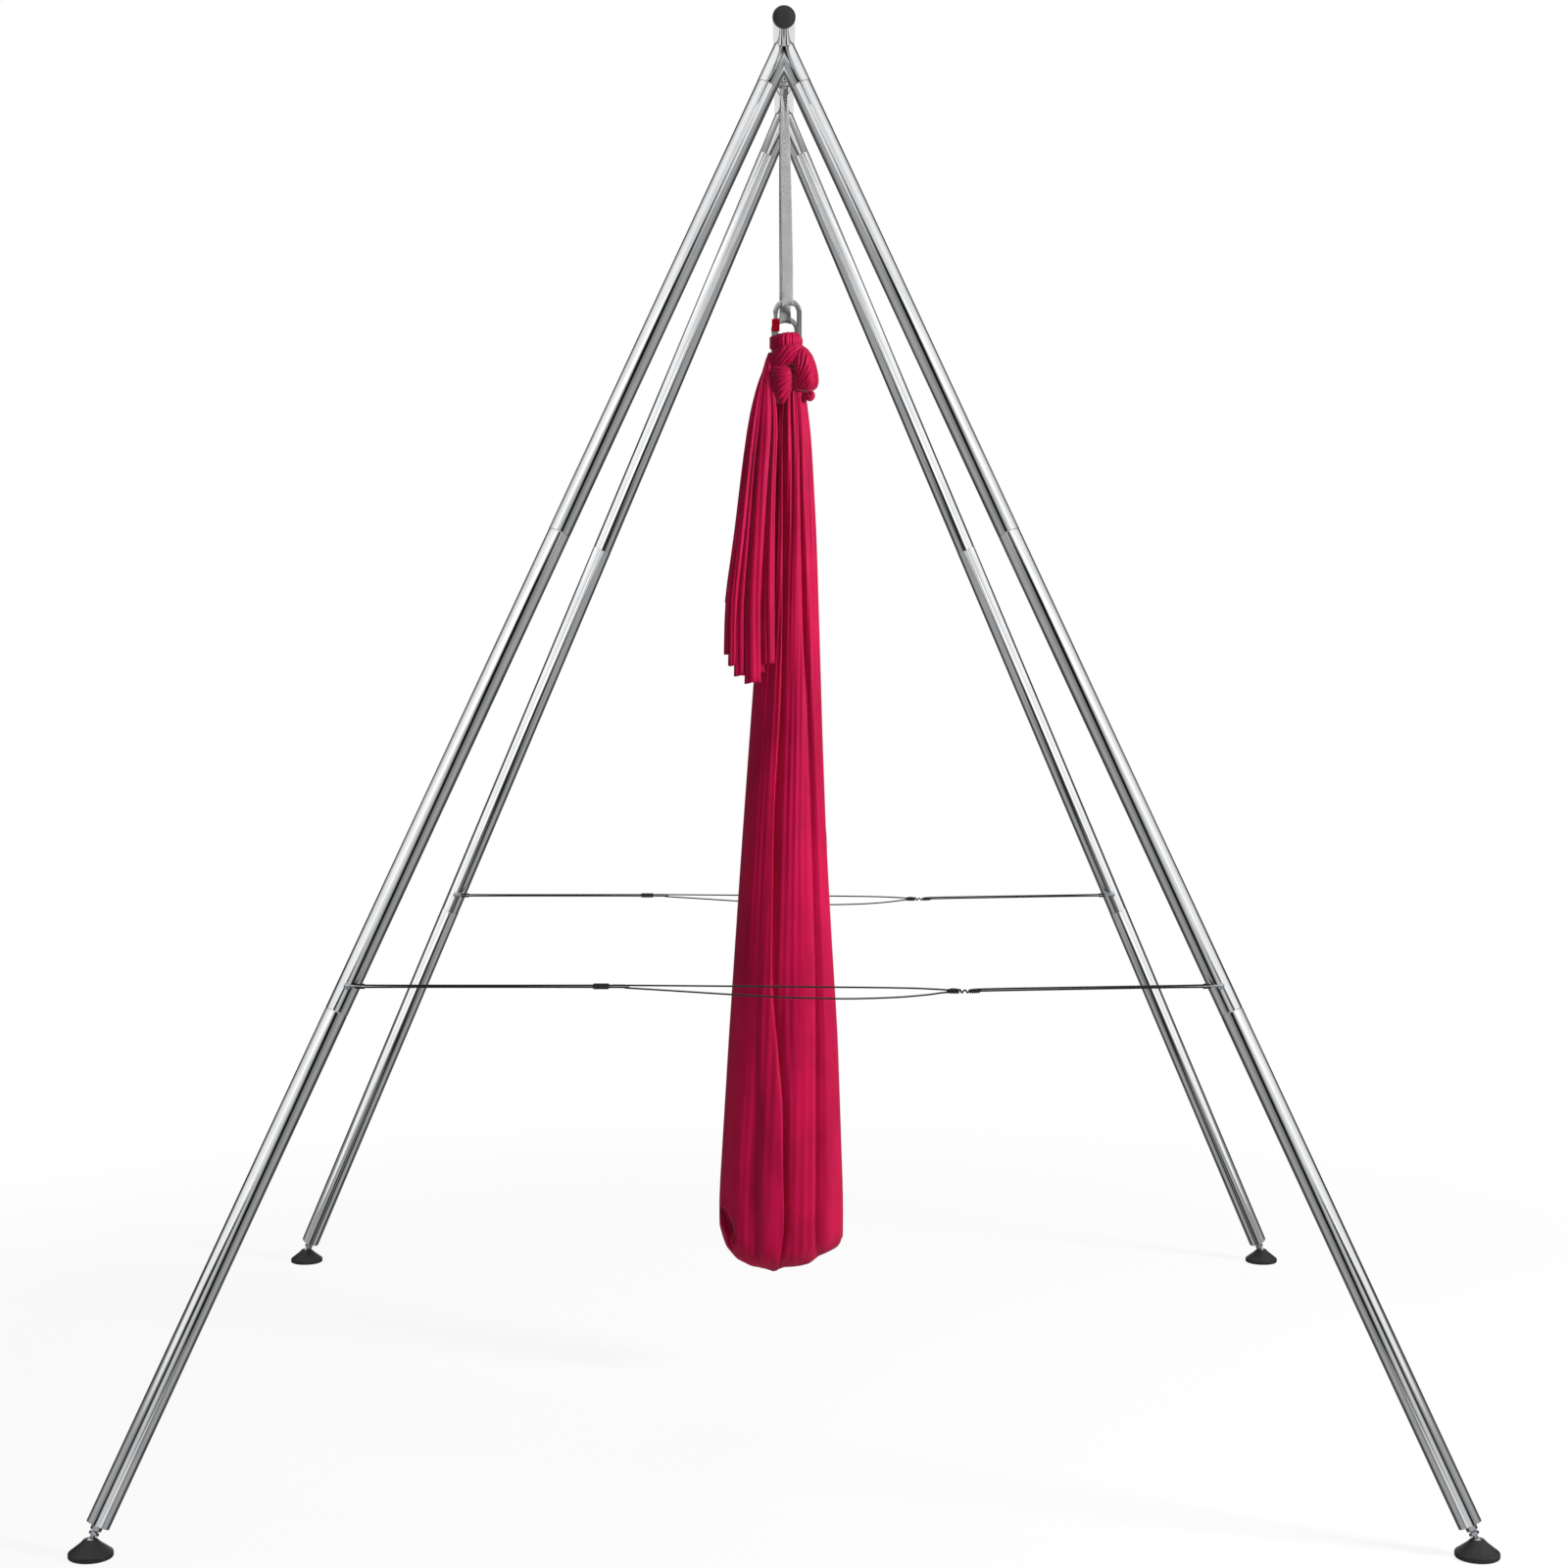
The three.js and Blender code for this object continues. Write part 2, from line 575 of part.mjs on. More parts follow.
function slingRuns() {
  const roll = new THREE.CylinderGeometry(webbing.rollRadius, webbing.rollRadius, webbing.topWidth,
    sides.ring).rotateZ(Math.PI / 2).translate(0, 0, swingHeight);
  return fromSolid(unite(roll, slingRun(hangPlaces.front), slingRun(hangPlaces.rear)));
}

// The bent wire from the nose over the top, down the spine and round to the hinge
function carabinerPath(steps) {
  const [right, top] = [vec(1, 0, 0), up];
  const over = arc(vec(0, 0, archHeight), right, top, wireHalfWidth, Math.PI, 0, steps);
  const under = arc(vec(0, 0, -archHeight), right, top, wireHalfWidth, 0, -Math.PI, steps);
  const start = vec(gateX, 0, carabiner.noseTop);
  const end = vec(gateX, 0, carabiner.tabRadius * -1 - carabiner.hingeBelow - gap.run);
  return [start, ...over, ...under, end];
}

const upright = (radius, from, to, count) => new THREE.CylinderGeometry(radius, radius, to - from, count)
  .rotateX(Math.PI / 2).translate(gateX, 0, (from + to) / 2);

// A flat plate round the hinge, thick along Y, that stands from or hangs to a level
function hingePlate(thickness, middleY, toLevel) {
  const { tabRadius, hingeBelow } = carabiner;
  const plate = new THREE.Shape();
  const rises = toLevel > -hingeBelow;
  plate.moveTo(gateX + tabRadius, toLevel);
  plate.lineTo(gateX + tabRadius, -hingeBelow);
  plate.absarc(gateX, -hingeBelow, tabRadius, 0, rises ? -Math.PI : Math.PI, rises);
  plate.lineTo(gateX - tabRadius, toLevel);
  return new THREE.ExtrudeGeometry(plate, { depth: thickness, bevelEnabled: false, curveSegments: 6 })
    .rotateX(Math.PI / 2).translate(0, thickness / 2 + middleY, 0);
}

function pinHole() {
  const radius = boreFor(carabiner.pinRadius, sides.small);
  return toSolid(new THREE.CylinderGeometry(radius, radius, carabiner.width, sides.small)
    .translate(gateX, 0, -carabiner.hingeBelow));
}

function carabinerBody() {
  const wire = rod(carabinerPath(9), carabiner.wireRadius, sides.wire);
  const nose = upright(carabiner.noseRadius, carabiner.noseBottom, carabiner.noseTop + gap.seat, sides.wire);
  const tabFoot = -archHeight - carabiner.wireRadius;
  const tab = hingePlate(carabiner.tabThickness, 0, tabFoot);
  return fromSolid(unite(wire, nose, tab).subtract(pinHole()));
}

const shoulderBase = carabiner.tabRadius + gap.run - carabiner.hingeBelow;
const sleeveBase = carabiner.noseBottom - carabiner.sleeveTopBelowNose - carabiner.sleeveLength;
const shoulderTop = sleeveBase - gap.seat;

// The gate: a shaft with a shoulder under the sleeve, and two cheeks on the hinge pin
function carabinerGate() {
  const { tabThickness, forkPlay, cheekThickness } = carabiner;
  const shaft = upright(carabiner.noseRadius, shoulderBase, gateTop, sides.wire);
  const shoulder = upright(carabiner.shoulderRadius, shoulderBase, shoulderTop, sides.wire);
  const cheekAt = tabThickness / 2 + forkPlay + cheekThickness / 2;
  const cheeks = [-cheekAt, cheekAt].map((y) => hingePlate(cheekThickness, y, shoulderBase + gap.seat));
  return fromSolid(unite(shaft, shoulder, ...cheeks).subtract(pinHole()));
}

function carabinerPin() {
  const { tabThickness, forkPlay, cheekThickness, pinRadius } = carabiner;
  const length = tabThickness + 2 * (forkPlay + cheekThickness);
  return new THREE.CylinderGeometry(pinRadius, pinRadius, length, sides.small)
    .translate(gateX, 0, -carabiner.hingeBelow);
}

// The screw sleeve in its open place, with grip flutes round it
function carabinerSleeve() {
  const { sleeveRadius, sleeveLength, sleeveEdge, noseRadius } = carabiner;
  const top = sleeveBase + sleeveLength;
  const base = sleeveBase;
  const bore = boreFor(noseRadius, sides.sleeve);
  const body = revolve([[bore, base], [sleeveRadius - sleeveEdge, base], [sleeveRadius, base + sleeveEdge],
    [sleeveRadius, top - sleeveEdge], [sleeveRadius - sleeveEdge, top], [bore, top], [bore, base]],
  sides.sleeve);
  const fluteRadius = sleeveEdge;
  const flutes = Array.from({ length: sides.sleeve / 2 }, (_, i) => {
    const angle = (4 * Math.PI * i) / sides.sleeve;
    return new THREE.CylinderGeometry(fluteRadius, fluteRadius, sleeveLength / 2, 5).rotateX(Math.PI / 2)
      .translate(sleeveRadius * Math.cos(angle), sleeveRadius * Math.sin(angle), (base + top) / 2);
  });
  return fromSolid(toSolid(body).subtract(unite(...flutes))).translate(gateX, 0, 0);
}

// The hammock cloth hangs from the knot to just above the floor, and its tail ends on the way
const cloth = {
  clear: 0.8,
  bodyFolds: 10,
  tailFolds: 6,
  width: 280,
  aboveFloor: 242,
  bodyInKnot: 38,
  tailLength: 720,
  tailBelowKnotTop: 51,
  knotWidth: 102,
  knotHeight: 153,
  knotBelowCarabinerTop: 80.2,
};
const knotTop = frontTop - cloth.knotBelowCarabinerTop;
const knotBase = knotTop - cloth.knotHeight;
const bodySpan = { base: cloth.aboveFloor, height: knotBase + cloth.bodyInKnot - cloth.aboveFloor };
const tailSpan = { base: knotTop - cloth.tailBelowKnotTop - cloth.tailLength, height: cloth.tailLength };

// Outlines as shares: of the height, then left edge, right edge and middle Y of the cloth's width,
// and the depth as a share of the width at that level
const bodyShares = [
  [0, -0.143, -0.014, 0, 0.6],
  [0.01, -0.371, 0.279, 0, 0.64],
  [0.021, -0.436, 0.4, 0, 0.64],
  [0.034, -0.479, 0.45, 0, 0.64],
  [0.054, -0.511, 0.471, 0, 0.64],
  [0.09, -0.521, 0.475, 0, 0.64],
  [0.279, -0.439, 0.429, 0, 0.64],
  [0.39, -0.386, 0.379, 0, 0.64],
  [0.5, -0.332, 0.336, 0.007, 0.66],
  [0.611, -0.275, 0.307, 0.014, 0.68],
  [0.762, -0.196, 0.275, 0.021, 0.7],
  [0.841, -0.157, 0.257, 0.025, 0.72],
  [0.95, -0.096, 0.214, 0.021, 0.78],
  [0.982, -0.05, 0.179, 0.014, 0.86],
  [1, -0.021, 0.157, 0.007, 0.9],
];
const tailShares = [
  [0, -0.296, -0.207, -0.179, 0.5],
  [0.025, -0.404, -0.15, -0.179, 0.42],
  [0.058, -0.45, -0.086, -0.179, 0.42],
  [0.092, -0.489, -0.075, -0.179, 0.42],
  [0.254, -0.479, -0.079, -0.175, 0.42],
  [0.474, -0.393, -0.079, -0.157, 0.44],
  [0.624, -0.346, -0.071, -0.146, 0.48],
  [0.774, -0.289, -0.057, -0.132, 0.52],
  [0.893, -0.243, -0.057, -0.114, 0.6],
  [0.961, -0.193, -0.064, -0.1, 0.72],
  [1, -0.157, -0.071, -0.086, 0.8],
];
const bodyPleats = { folds: cloth.bodyFolds, depth: 0.2, wander: 0.22, start: 0.29, twist: 2.38 };
const tailPleats = { folds: cloth.tailFolds, depth: 0.26, wander: 0.2, start: 3.14, twist: 1.44 };

// One level of pleated cloth: an oval whose folds turn inwards, shifting slowly with the height
function pleatedRing(row, span, pleats, grow) {
  const [level, left, right, middleY] = row;
  const depthShare = row[4];
  const half = ((right - left) * cloth.width) / 2 + grow;
  const middleX = ((left + right) * cloth.width) / 2;
  const count = pleats.folds * sides.fold;
  return Array.from({ length: count }, (_, i) => {
    const angle = (2 * Math.PI * i) / count;
    const wave = Math.cos(angle * pleats.folds);
    const wander = Math.sin(3 * angle + pleats.start + level * pleats.twist) * pleats.wander;
    const radius = half * (1 - pleats.depth * (1 - wave) * (0.5 + wander));
    return vec(middleX + radius * Math.cos(angle),
      middleY * cloth.width + radius * depthShare * Math.sin(angle), span.base + level * span.height);
  });
}

const pleated = (rows, span, pleats, grow) => toSolid(loft(rows
  .map((row) => pleatedRing(row, span, pleats, grow))));
const pleatedBody = (grow) => pleated(bodyShares, bodySpan, bodyPleats, grow);
const pleatedTail = () => pleated(tailShares, tailSpan, tailPleats, 0);

// The knot's lumps as shares: of its height, then centre X, centre Y, half width and half depth of its width
const collarShares = [[0.641, 0.02, 0, 0.255, 0.275], [0.732, 0.029, 0, 0.284, 0.304],
  [0.85, 0.029, 0, 0.333, 0.333], [0.954, 0.029, 0, 0.343, 0.333], [1, 0.029, 0, 0.333, 0.324]];
const ballShares = [[0, 0.294, -0.039, 0.137, 0.157], [0.039, 0.275, -0.059, 0.275, 0.294],
  [0.118, 0.265, -0.078, 0.382, 0.382], [0.222, 0.245, -0.078, 0.461, 0.422],
  [0.34, 0.235, -0.069, 0.5, 0.431], [0.458, 0.196, -0.049, 0.48, 0.412],
  [0.562, 0.127, -0.029, 0.402, 0.373], [0.654, 0.059, -0.01, 0.294, 0.304],
  [0.706, 0.029, 0, 0.235, 0.255]];
const lobeShares = [[0.013, 0.02, -0.392, 0.069, 0.059], [0.078, 0, -0.412, 0.147, 0.118],
  [0.196, -0.029, -0.412, 0.235, 0.167], [0.34, -0.059, -0.392, 0.275, 0.186],
  [0.471, -0.078, -0.353, 0.235, 0.167], [0.549, -0.078, -0.314, 0.137, 0.118]];

// One lump of the knot, its creases leaning by an angle over the knot's height
function lump(rows, folds, depth, lean, grow = 0) {
  const count = folds * sides.fold;
  return loft(rows.map(([level, x, y, halfWidth, halfDepth]) => Array.from({ length: count }, (_, i) => {
    const angle = (2 * Math.PI * i) / count;
    const wave = 1 - depth * (0.5 - 0.5 * Math.cos(folds * angle + lean * (level - rows[0][0])));
    return vec((x + halfWidth * wave * Math.cos(angle)) * cloth.knotWidth + grow * Math.cos(angle),
      (y + halfDepth * wave * Math.sin(angle)) * cloth.knotWidth + grow * Math.sin(angle),
      knotBase + level * cloth.knotHeight);
  })));
}

// What the cloth stays clear of: both carabiners' wires, and the space that their gates sweep
function carabinerRoom({ x, y, top }) {
  const middle = top - wireHalfHeight;
  const wire = rod(carabinerPath(8), carabiner.wireRadius + cloth.clear, sides.wire);
  const sweepHalf = carabiner.sleeveRadius + cloth.clear;
  const [low, high] = [-archHeight - carabiner.wireRadius, carabiner.noseTop];
  const [outer, inner] = [gateX - sweepHalf, 0];
  const sweep = new THREE.BoxGeometry(inner - outer, 2 * sweepHalf, high - low)
    .translate((inner + outer) / 2, 0, (low + high) / 2);
  return unite(wire, sweep).translate([x, y, middle]);
}

// The knot's three lumps, creased, or smooth and grown by the cloth's clearance
const knotLumps = (creased, grow) => unite(
  lump(collarShares, 8, creased ? 0.16 : 0, 0, grow),
  lump(ballShares, 8, creased ? 0.14 : 0, 5.4, grow),
  lump(lobeShares, 5, creased ? 0.12 : 0, 3.1, grow),
);

function hammockKnot() {
  const room = carabinerRoom(hangPlaces.front).add(carabinerRoom(hangPlaces.rear));
  return fromSolid(knotLumps(true, 0).subtract(room));
}

const hammockBody = () => fromSolid(pleatedBody(0).subtract(knotLumps(false, cloth.clear)));

const hammockTail = () => fromSolid(pleatedTail().subtract(knotLumps(false, cloth.clear))
  .subtract(pleatedBody(cloth.clear)));

// The frame
add('top_bar', topBar(), finish.chrome);
const [alongX, alongZ, alongY] = [vec(1, 0, 0), vec(0, 0, 1), vec(0, 1, 0)];
add('bar_cap_front', barCap(), finish.capPlastic,
  turned(alongX, alongZ, camSide, vec(0, -barHalfLength, layout.barAxisHeight)));
add('bar_cap_rear', barCap(), finish.capPlastic,
  turned(alongX, alongZ.clone().negate(), alongY, vec(0, barHalfLength, layout.barAxisHeight)));

const boltInMiddleTube = boltAlongLeg - tube.stubLength - sectionLength - gap.tubeJoint;
const anchors = {};
for (const [corner, leg] of Object.entries(legs)) {
  const tubeAt = (step) => leg.frameAt(tube.stubLength + step * sectionLength + gap.tubeJoint);
  const middle = toSolid(legTube(true)).subtract(boltHole(boltInMiddleTube));
  add(`leg_upper_${corner}`, legTube(true), finish.chrome, tubeAt(0));
  add(`leg_middle_${corner}`, fromSolid(middle), finish.chrome, tubeAt(1));
  add(`leg_lower_${corner}`, legTube(false), finish.chrome, tubeAt(2));

  // The foot's frame has its origin at the ball and Z up the leg
  const upLeg = leg.down.clone().negate();
  const footFrame = turned(leg.facing, upLeg.clone().cross(leg.facing), upLeg, leg.ball);
  add(`leg_plug_${corner}`, legPlug(), finish.steel, footFrame);
  add(`foot_stud_${corner}`, footStud(), finish.steel, footFrame);
  add(`foot_nut_${corner}`, footNut(), finish.steel, footFrame);
  add(`foot_pad_${corner}`, footPad(), finish.rubber, turned(alongX, alongY, alongZ, leg.ball.clone().setZ(0)));

  const anchor = tetherAnchor(leg);
  const boltFrame = turned(leg.down, leg.facing.clone().cross(leg.down), leg.facing, leg.at(boltAlongLeg));
  anchors[corner] = anchor;
  add(`tether_bolt_${corner}`, tetherBolt(), finish.steel, boltFrame);
  add(`tether_nut_${corner}`, tetherNut(), finish.steel, boltFrame);
  add(`tether_hook_${corner}`, tetherHook(anchor), finish.steel);
}

// The tethers
for (const end of ['front', 'rear']) {
  const [left, right] = [anchors[`${end}_left`], anchors[`${end}_right`]];
  add(`tether_cord_${end}`, tetherCord(left, right), finish.cord);
  add(`tether_slider_${end}`, tetherSlider(left), finish.blackPlastic);
}

// The hanging parts
add('sling_bar_turns', slingWrap(), finish.webbing);
add('sling_runs', slingRuns(), finish.webbing);
for (const [end, place] of Object.entries(hangPlaces)) {
  const frame = new THREE.Matrix4().makeTranslation(place.x, place.y, place.top - wireHalfHeight);
  add(`carabiner_body_${end}`, carabinerBody(), finish.steel, frame);
  add(`carabiner_gate_${end}`, carabinerGate(), finish.steel, frame);
  add(`carabiner_pin_${end}`, carabinerPin(), finish.steel, frame);
  add(`carabiner_sleeve_${end}`, carabinerSleeve(), finish.redSleeve, frame);
}
add('hammock_knot', hammockKnot(), finish.cloth);
add('hammock_body', hammockBody(), finish.cloth);
add('hammock_tail', hammockTail(), finish.cloth);

export default rig;
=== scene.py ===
"""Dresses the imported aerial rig: chromed frame, levelling feet, tethers, sling, carabiners, hammock."""

from __future__ import annotations

import json
import logging
import math
from collections.abc import Callable, Iterator, Sequence
from contextlib import contextmanager
from dataclasses import dataclass, field
from enum import Enum

import bmesh
import bpy
import numpy as np
from bpy.types import Material, Node, NodeSocket, NodeTree, Object
from mathutils import Matrix, Vector

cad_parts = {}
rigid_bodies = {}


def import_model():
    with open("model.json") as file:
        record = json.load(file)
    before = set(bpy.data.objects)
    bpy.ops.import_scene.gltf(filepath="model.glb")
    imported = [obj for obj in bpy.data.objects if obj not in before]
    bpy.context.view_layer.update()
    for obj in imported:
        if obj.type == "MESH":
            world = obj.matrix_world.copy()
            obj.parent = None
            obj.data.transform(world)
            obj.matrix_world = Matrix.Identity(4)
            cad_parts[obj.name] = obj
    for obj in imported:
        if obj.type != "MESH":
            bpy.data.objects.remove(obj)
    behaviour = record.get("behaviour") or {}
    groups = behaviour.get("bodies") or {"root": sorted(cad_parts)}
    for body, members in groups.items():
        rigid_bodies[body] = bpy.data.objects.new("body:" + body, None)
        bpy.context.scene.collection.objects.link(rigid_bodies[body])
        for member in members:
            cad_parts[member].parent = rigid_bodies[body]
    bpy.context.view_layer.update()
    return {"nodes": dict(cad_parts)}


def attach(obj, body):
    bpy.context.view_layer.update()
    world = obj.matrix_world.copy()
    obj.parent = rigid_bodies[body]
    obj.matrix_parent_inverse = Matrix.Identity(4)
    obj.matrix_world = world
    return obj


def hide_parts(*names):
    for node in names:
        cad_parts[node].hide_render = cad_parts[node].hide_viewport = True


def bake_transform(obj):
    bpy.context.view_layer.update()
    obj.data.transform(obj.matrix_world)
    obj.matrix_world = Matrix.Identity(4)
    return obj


Pairs = Sequence[tuple[float, float]]
Rows = Sequence[Sequence[float]]

log = logging.getLogger("aerial_rig")
MM = 0.001
TAU = 2 * math.pi
# Heights of the bar's axis and of the feet's balls, in mm
BAR_HEIGHT = 2907.5
BALL_HEIGHT = 30
# Half the distance between the two sides of a carabiner's wire, in mm
WIRE_HALF_WIDTH = 25.75
# Turns that lay a piece that was spun round Z along another axis
ALONG_Y = Matrix.Rotation(math.pi / 2, 4, "X")
ALONG_X = Matrix.Rotation(math.pi / 2, 4, "Y")
# Points nearer than this, in metres, are one point
MERGE_GAP = 1e-6
# Side in metres of the plane whose first corner starts a drawn profile
SEED_SIZE = 0.001
# Scale that draws a section's end to a point without a zero-sized face
POINTED = 1e-3


class Side(Enum):
    """The left and the right legs, as the sign of their feet's X."""

    LEFT = -1
    RIGHT = 1


class End(Enum):
    """The front and the rear of the rig, as the sign of Y."""

    FRONT = -1
    REAR = 1


CORNERS = [(end, side) for end in End for side in Side]


def corner_name(end: End, side: Side) -> str:
    """Name one leg's corner as the CAD nodes do, such as front_left."""
    return f"{end.name}_{side.name}".lower()


# Colour and shader nodes


def linear(hex_colour: str) -> tuple[float, float, float, float]:
    """Turn an sRGB hex colour to linear light.

    Args:
        hex_colour: Six hex digits after a hash.

    Returns:
        Red, green, blue and an alpha of 1.
    """
    parts = [int(hex_colour[i : i + 2], 16) / 255 for i in (1, 3, 5)]
    light = [c / 12.92 if c <= 0.04045 else ((c + 0.055) / 1.055) ** 2.4 for c in parts]
    return (*light, 1.0)


def add_node(
    tree: NodeTree,
    kind: str,
    inputs: dict[str | int, object] | None = None,
    **settings: object,
) -> Node:
    """Add one node with its settings and links.

    Args:
        tree: The node tree that gets it.
        kind: Its Blender type name, after ShaderNode.
        inputs: Input name or number to a value, or to the output socket that feeds it.
        **settings: Attributes of the node itself.

    Returns:
        The node.
    """
    node = tree.nodes.new("ShaderNode" + kind)
    for name, value in settings.items():
        setattr(node, name, value)
    for key, value in (inputs or {}).items():
        if isinstance(value, NodeSocket):
            tree.links.new(value, node.inputs[key])
        else:
            node.inputs[key].default_value = value
    return node


def new_material(name: str) -> tuple[Material, NodeTree]:
    """Start an empty node material and return it with its tree."""
    material = bpy.data.materials.new(name)
    material.use_nodes = True
    material.node_tree.nodes.clear()
    return material, material.node_tree


def maths(tree: NodeTree, operation: str, a: object, b: object = 0.0) -> NodeSocket:
    """Add a Math node and return its value."""
    return add_node(tree, "Math", {0: a, 1: b}, operation=operation).outputs[0]


def texture(tree: NodeTree, kind: str, scale: Sequence[float], **inputs: float) -> NodeSocket:
    """Add a texture over Object coordinates, so that it has a real size.

    Args:
        tree: The node tree.
        kind: The texture's type name.
        scale: Patches a metre on each axis.
        **inputs: Its other inputs.

    Returns:
        Its first output.
    """
    place = add_node(tree, "TexCoord").outputs["Object"]
    spread = add_node(tree, "Mapping", {0: place, "Scale": scale}).outputs[0]
    return add_node(tree, kind, {"Vector": spread, "Scale": 1.0, **inputs}).outputs[0]


def remap(tree: NodeTree, value: NodeSocket, source: Sequence[float], target: Sequence[float]) -> NodeSocket:
    """Map a value from one range to another."""
    limits = dict(enumerate((*source, *target), start=1))
    return add_node(tree, "MapRange", {0: value, **limits}).outputs[0]


def close_surface(
    tree: NodeTree, height: NodeSocket, strength: float, relief_mm: float, inputs: dict[str, object]
) -> None:
    """End a material with a bumped principled shader.

    Args:
        tree: The material's tree.
        height: What raises the bumps.
        strength: How strong they are.
        relief_mm: How high they are.
        inputs: The shader's other inputs.
    """
    relief = {"Height": height, "Strength": strength, "Distance": relief_mm * MM}
    normal = add_node(tree, "Bump", relief).outputs[0]
    shade_end(tree, add_node(tree, "BsdfPrincipled", {**inputs, "Normal": normal}))


def shade_end(tree: NodeTree, shader: Node) -> None:
    """Link a shader to the material's surface."""
    add_node(tree, "OutputMaterial", {"Surface": shader.outputs[0]})


def ramp(tree: NodeTree, factor: NodeSocket, stops: Sequence[tuple[float, object]]) -> NodeSocket:
    """Map a factor to colours at the given places.

    Args:
        tree: The node tree.
        factor: The value that is read.
        stops: Place and linear colour of each stop.

    Returns:
        The colour output.
    """
    node = add_node(tree, "ValToRGB", {"Fac": factor})
    elements = node.color_ramp.elements
    for element, (place, colour) in ((elements[0], stops[0]), (elements[1], stops[-1])):
        element.position, element.color = place, colour
    for place, colour in stops[1:-1]:
        elements.new(place).color = colour
    return node.outputs[0]


@dataclass(frozen=True)
class Finish:
    """A named finish between two tones."""

    name: str
    tint: str
    shade: str

    def tone(self, tree: NodeTree, factor: NodeSocket, low: float, high: float) -> NodeSocket:
        """Go from the shade to the tint as a factor rises from low to high."""
        return ramp(tree, factor, [(low, linear(self.shade)), (high, linear(self.tint))])


@dataclass(frozen=True)
class MetalFinish(Finish):
    """A bare or plated metal: fine grain and smears in its gloss, and faint scratches."""

    roughness: tuple[float, float]
    grain_mm: float
    scratch: float

    def build(self) -> Material:
        """Build the metal from noise in real millimetres.

        Returns:
            The material.
        """
        material, tree = new_material(self.name)
        smear = texture(tree, "TexNoise", (9, 9, 9), Detail=4.0)
        grain = texture(tree, "TexNoise", (1 / (self.grain_mm * MM),) * 3, Detail=2.0)
        inputs = {
            "Base Color": self.tone(tree, smear, 0.35, 0.65),
            "Metallic": 1.0,
            "Roughness": remap(tree, smear, (0.35, 0.7), self.roughness),
        }
        close_surface(tree, grain, self.scratch, 0.1, inputs)
        return material


@dataclass(frozen=True)
class MouldedFinish(Finish):
    """A moulded plastic or rubber: spark-eroded grain, and a rubbed, slightly dusty tone."""

    roughness: tuple[float, float]
    grain_mm: float
    relief: float
    gloss: float

    def build(self) -> Material:
        """Build the moulded surface.

        Returns:
            The material.
        """
        material, tree = new_material(self.name)
        cloud = texture(tree, "TexNoise", (60, 60, 60), Detail=5.0)
        grain = texture(tree, "TexVoronoi", (1 / (self.grain_mm * MM),) * 3)
        inputs = {
            "Base Color": self.tone(tree, cloud, 0.3, 0.7),
            "Roughness": remap(tree, cloud, (0.3, 0.7), self.roughness),
            "IOR": 1.5,
            "Specular IOR Level": self.gloss,
        }
        close_surface(tree, grain, self.relief, 0.2, inputs)
        return material


@dataclass(frozen=True)
class WovenFinish(Finish):
    """A woven or braided textile, its threads drawn in the piece's own UV map, which is in metres."""

    thread_mm: tuple[float, float]
    slant: float
    roughness: float
    relief: float
    sheen: float

    def build(self) -> Material:
        """Build crossing thread waves, with painted shade in the hollows between the threads and their
        crowns lighter.

        Returns:
            The material.
        """
        material, tree = new_material(self.name)
        place = add_node(tree, "TexCoord").outputs["UV"]
        turned = add_node(tree, "Mapping", {0: place, "Rotation": (0.0, 0.0, self.slant)}).outputs[0]
        split = add_node(tree, "SeparateXYZ", {0: turned}).outputs
        waves = []
        for axis, size in enumerate(self.thread_mm):
            angle = maths(tree, "MULTIPLY", split[axis], TAU / (size * MM) / 2)
            waves.append(maths(tree, "ABSOLUTE", maths(tree, "SINE", angle)))
        threads = maths(tree, "MULTIPLY", *waves)
        mixed = maths(tree, "ADD", threads, texture(tree, "TexNoise", (28, 28, 28), Detail=4.0))
        # The base colour follows the threads' relief: painted shade in the hollows between threads, lighter
        # on their crowns.
        inputs = {
            "Base Color": self.tone(tree, mixed, 0.35, 0.95),
            "Roughness": self.roughness,
            "Specular IOR Level": 0.25,
            "Sheen Weight": self.sheen,
            "Sheen Roughness": 0.5,
        }
        close_surface(tree, threads, self.relief, 0.4, inputs)
        return material


@dataclass(frozen=True)
class SatinKnitFinish(Finish):
    """Crimson warp-knit nylon that catches a pink satin light: each wave is one rib of the knit."""

    name: str = "crimson nylon tricot, warp knitted"
    tint: str = "#bb1344"
    shade: str = "#8f0c2f"
    light: str = "#ff6aa6"
    wave_mm: tuple[float, float] = (1.1, 1.6)

    def build(self) -> Material:
        """Build the knit from fine wales along the cloth's length and courses across it.

        Returns:
            The material.
        """
        material, tree = new_material(self.name)
        place = add_node(tree, "TexCoord").outputs["UV"]
        split = add_node(tree, "SeparateXYZ", {0: place}).outputs
        waves = [
            maths(tree, "SINE", maths(tree, "MULTIPLY", split[axis], TAU / (size * MM)))
            for axis, size in enumerate(self.wave_mm)
        ]
        knit = maths(tree, "ADD", *waves)
        cloud = texture(tree, "TexNoise", (14, 14, 5), Detail=5.0)
        mixed = maths(tree, "ADD", maths(tree, "MULTIPLY", knit, 0.05), cloud)
        inputs = {
            "Base Color": self.tone(tree, mixed, 0.2, 0.62),
            "Roughness": 0.42,
            "Specular IOR Level": 0.3,
            "Specular Tint": linear(self.light),
            "Sheen Weight": 0.08,
            "Sheen Roughness": 0.4,
            "Sheen Tint": linear(self.light),
        }
        close_surface(tree, knit, 0.25, 0.15, inputs)
        return material


# Modelling by hand


def deselect_all() -> None:
    """Leave nothing selected, so that an operator acts on its own piece alone."""
    if bpy.context.object and bpy.context.object.mode != "OBJECT":
        bpy.ops.object.mode_set(mode="OBJECT")
    bpy.ops.object.select_all(action="DESELECT")


def pick(piece: Object) -> None:
    """Select one piece alone and make it active."""
    deselect_all()
    piece.select_set(True)
    bpy.context.view_layer.objects.active = piece


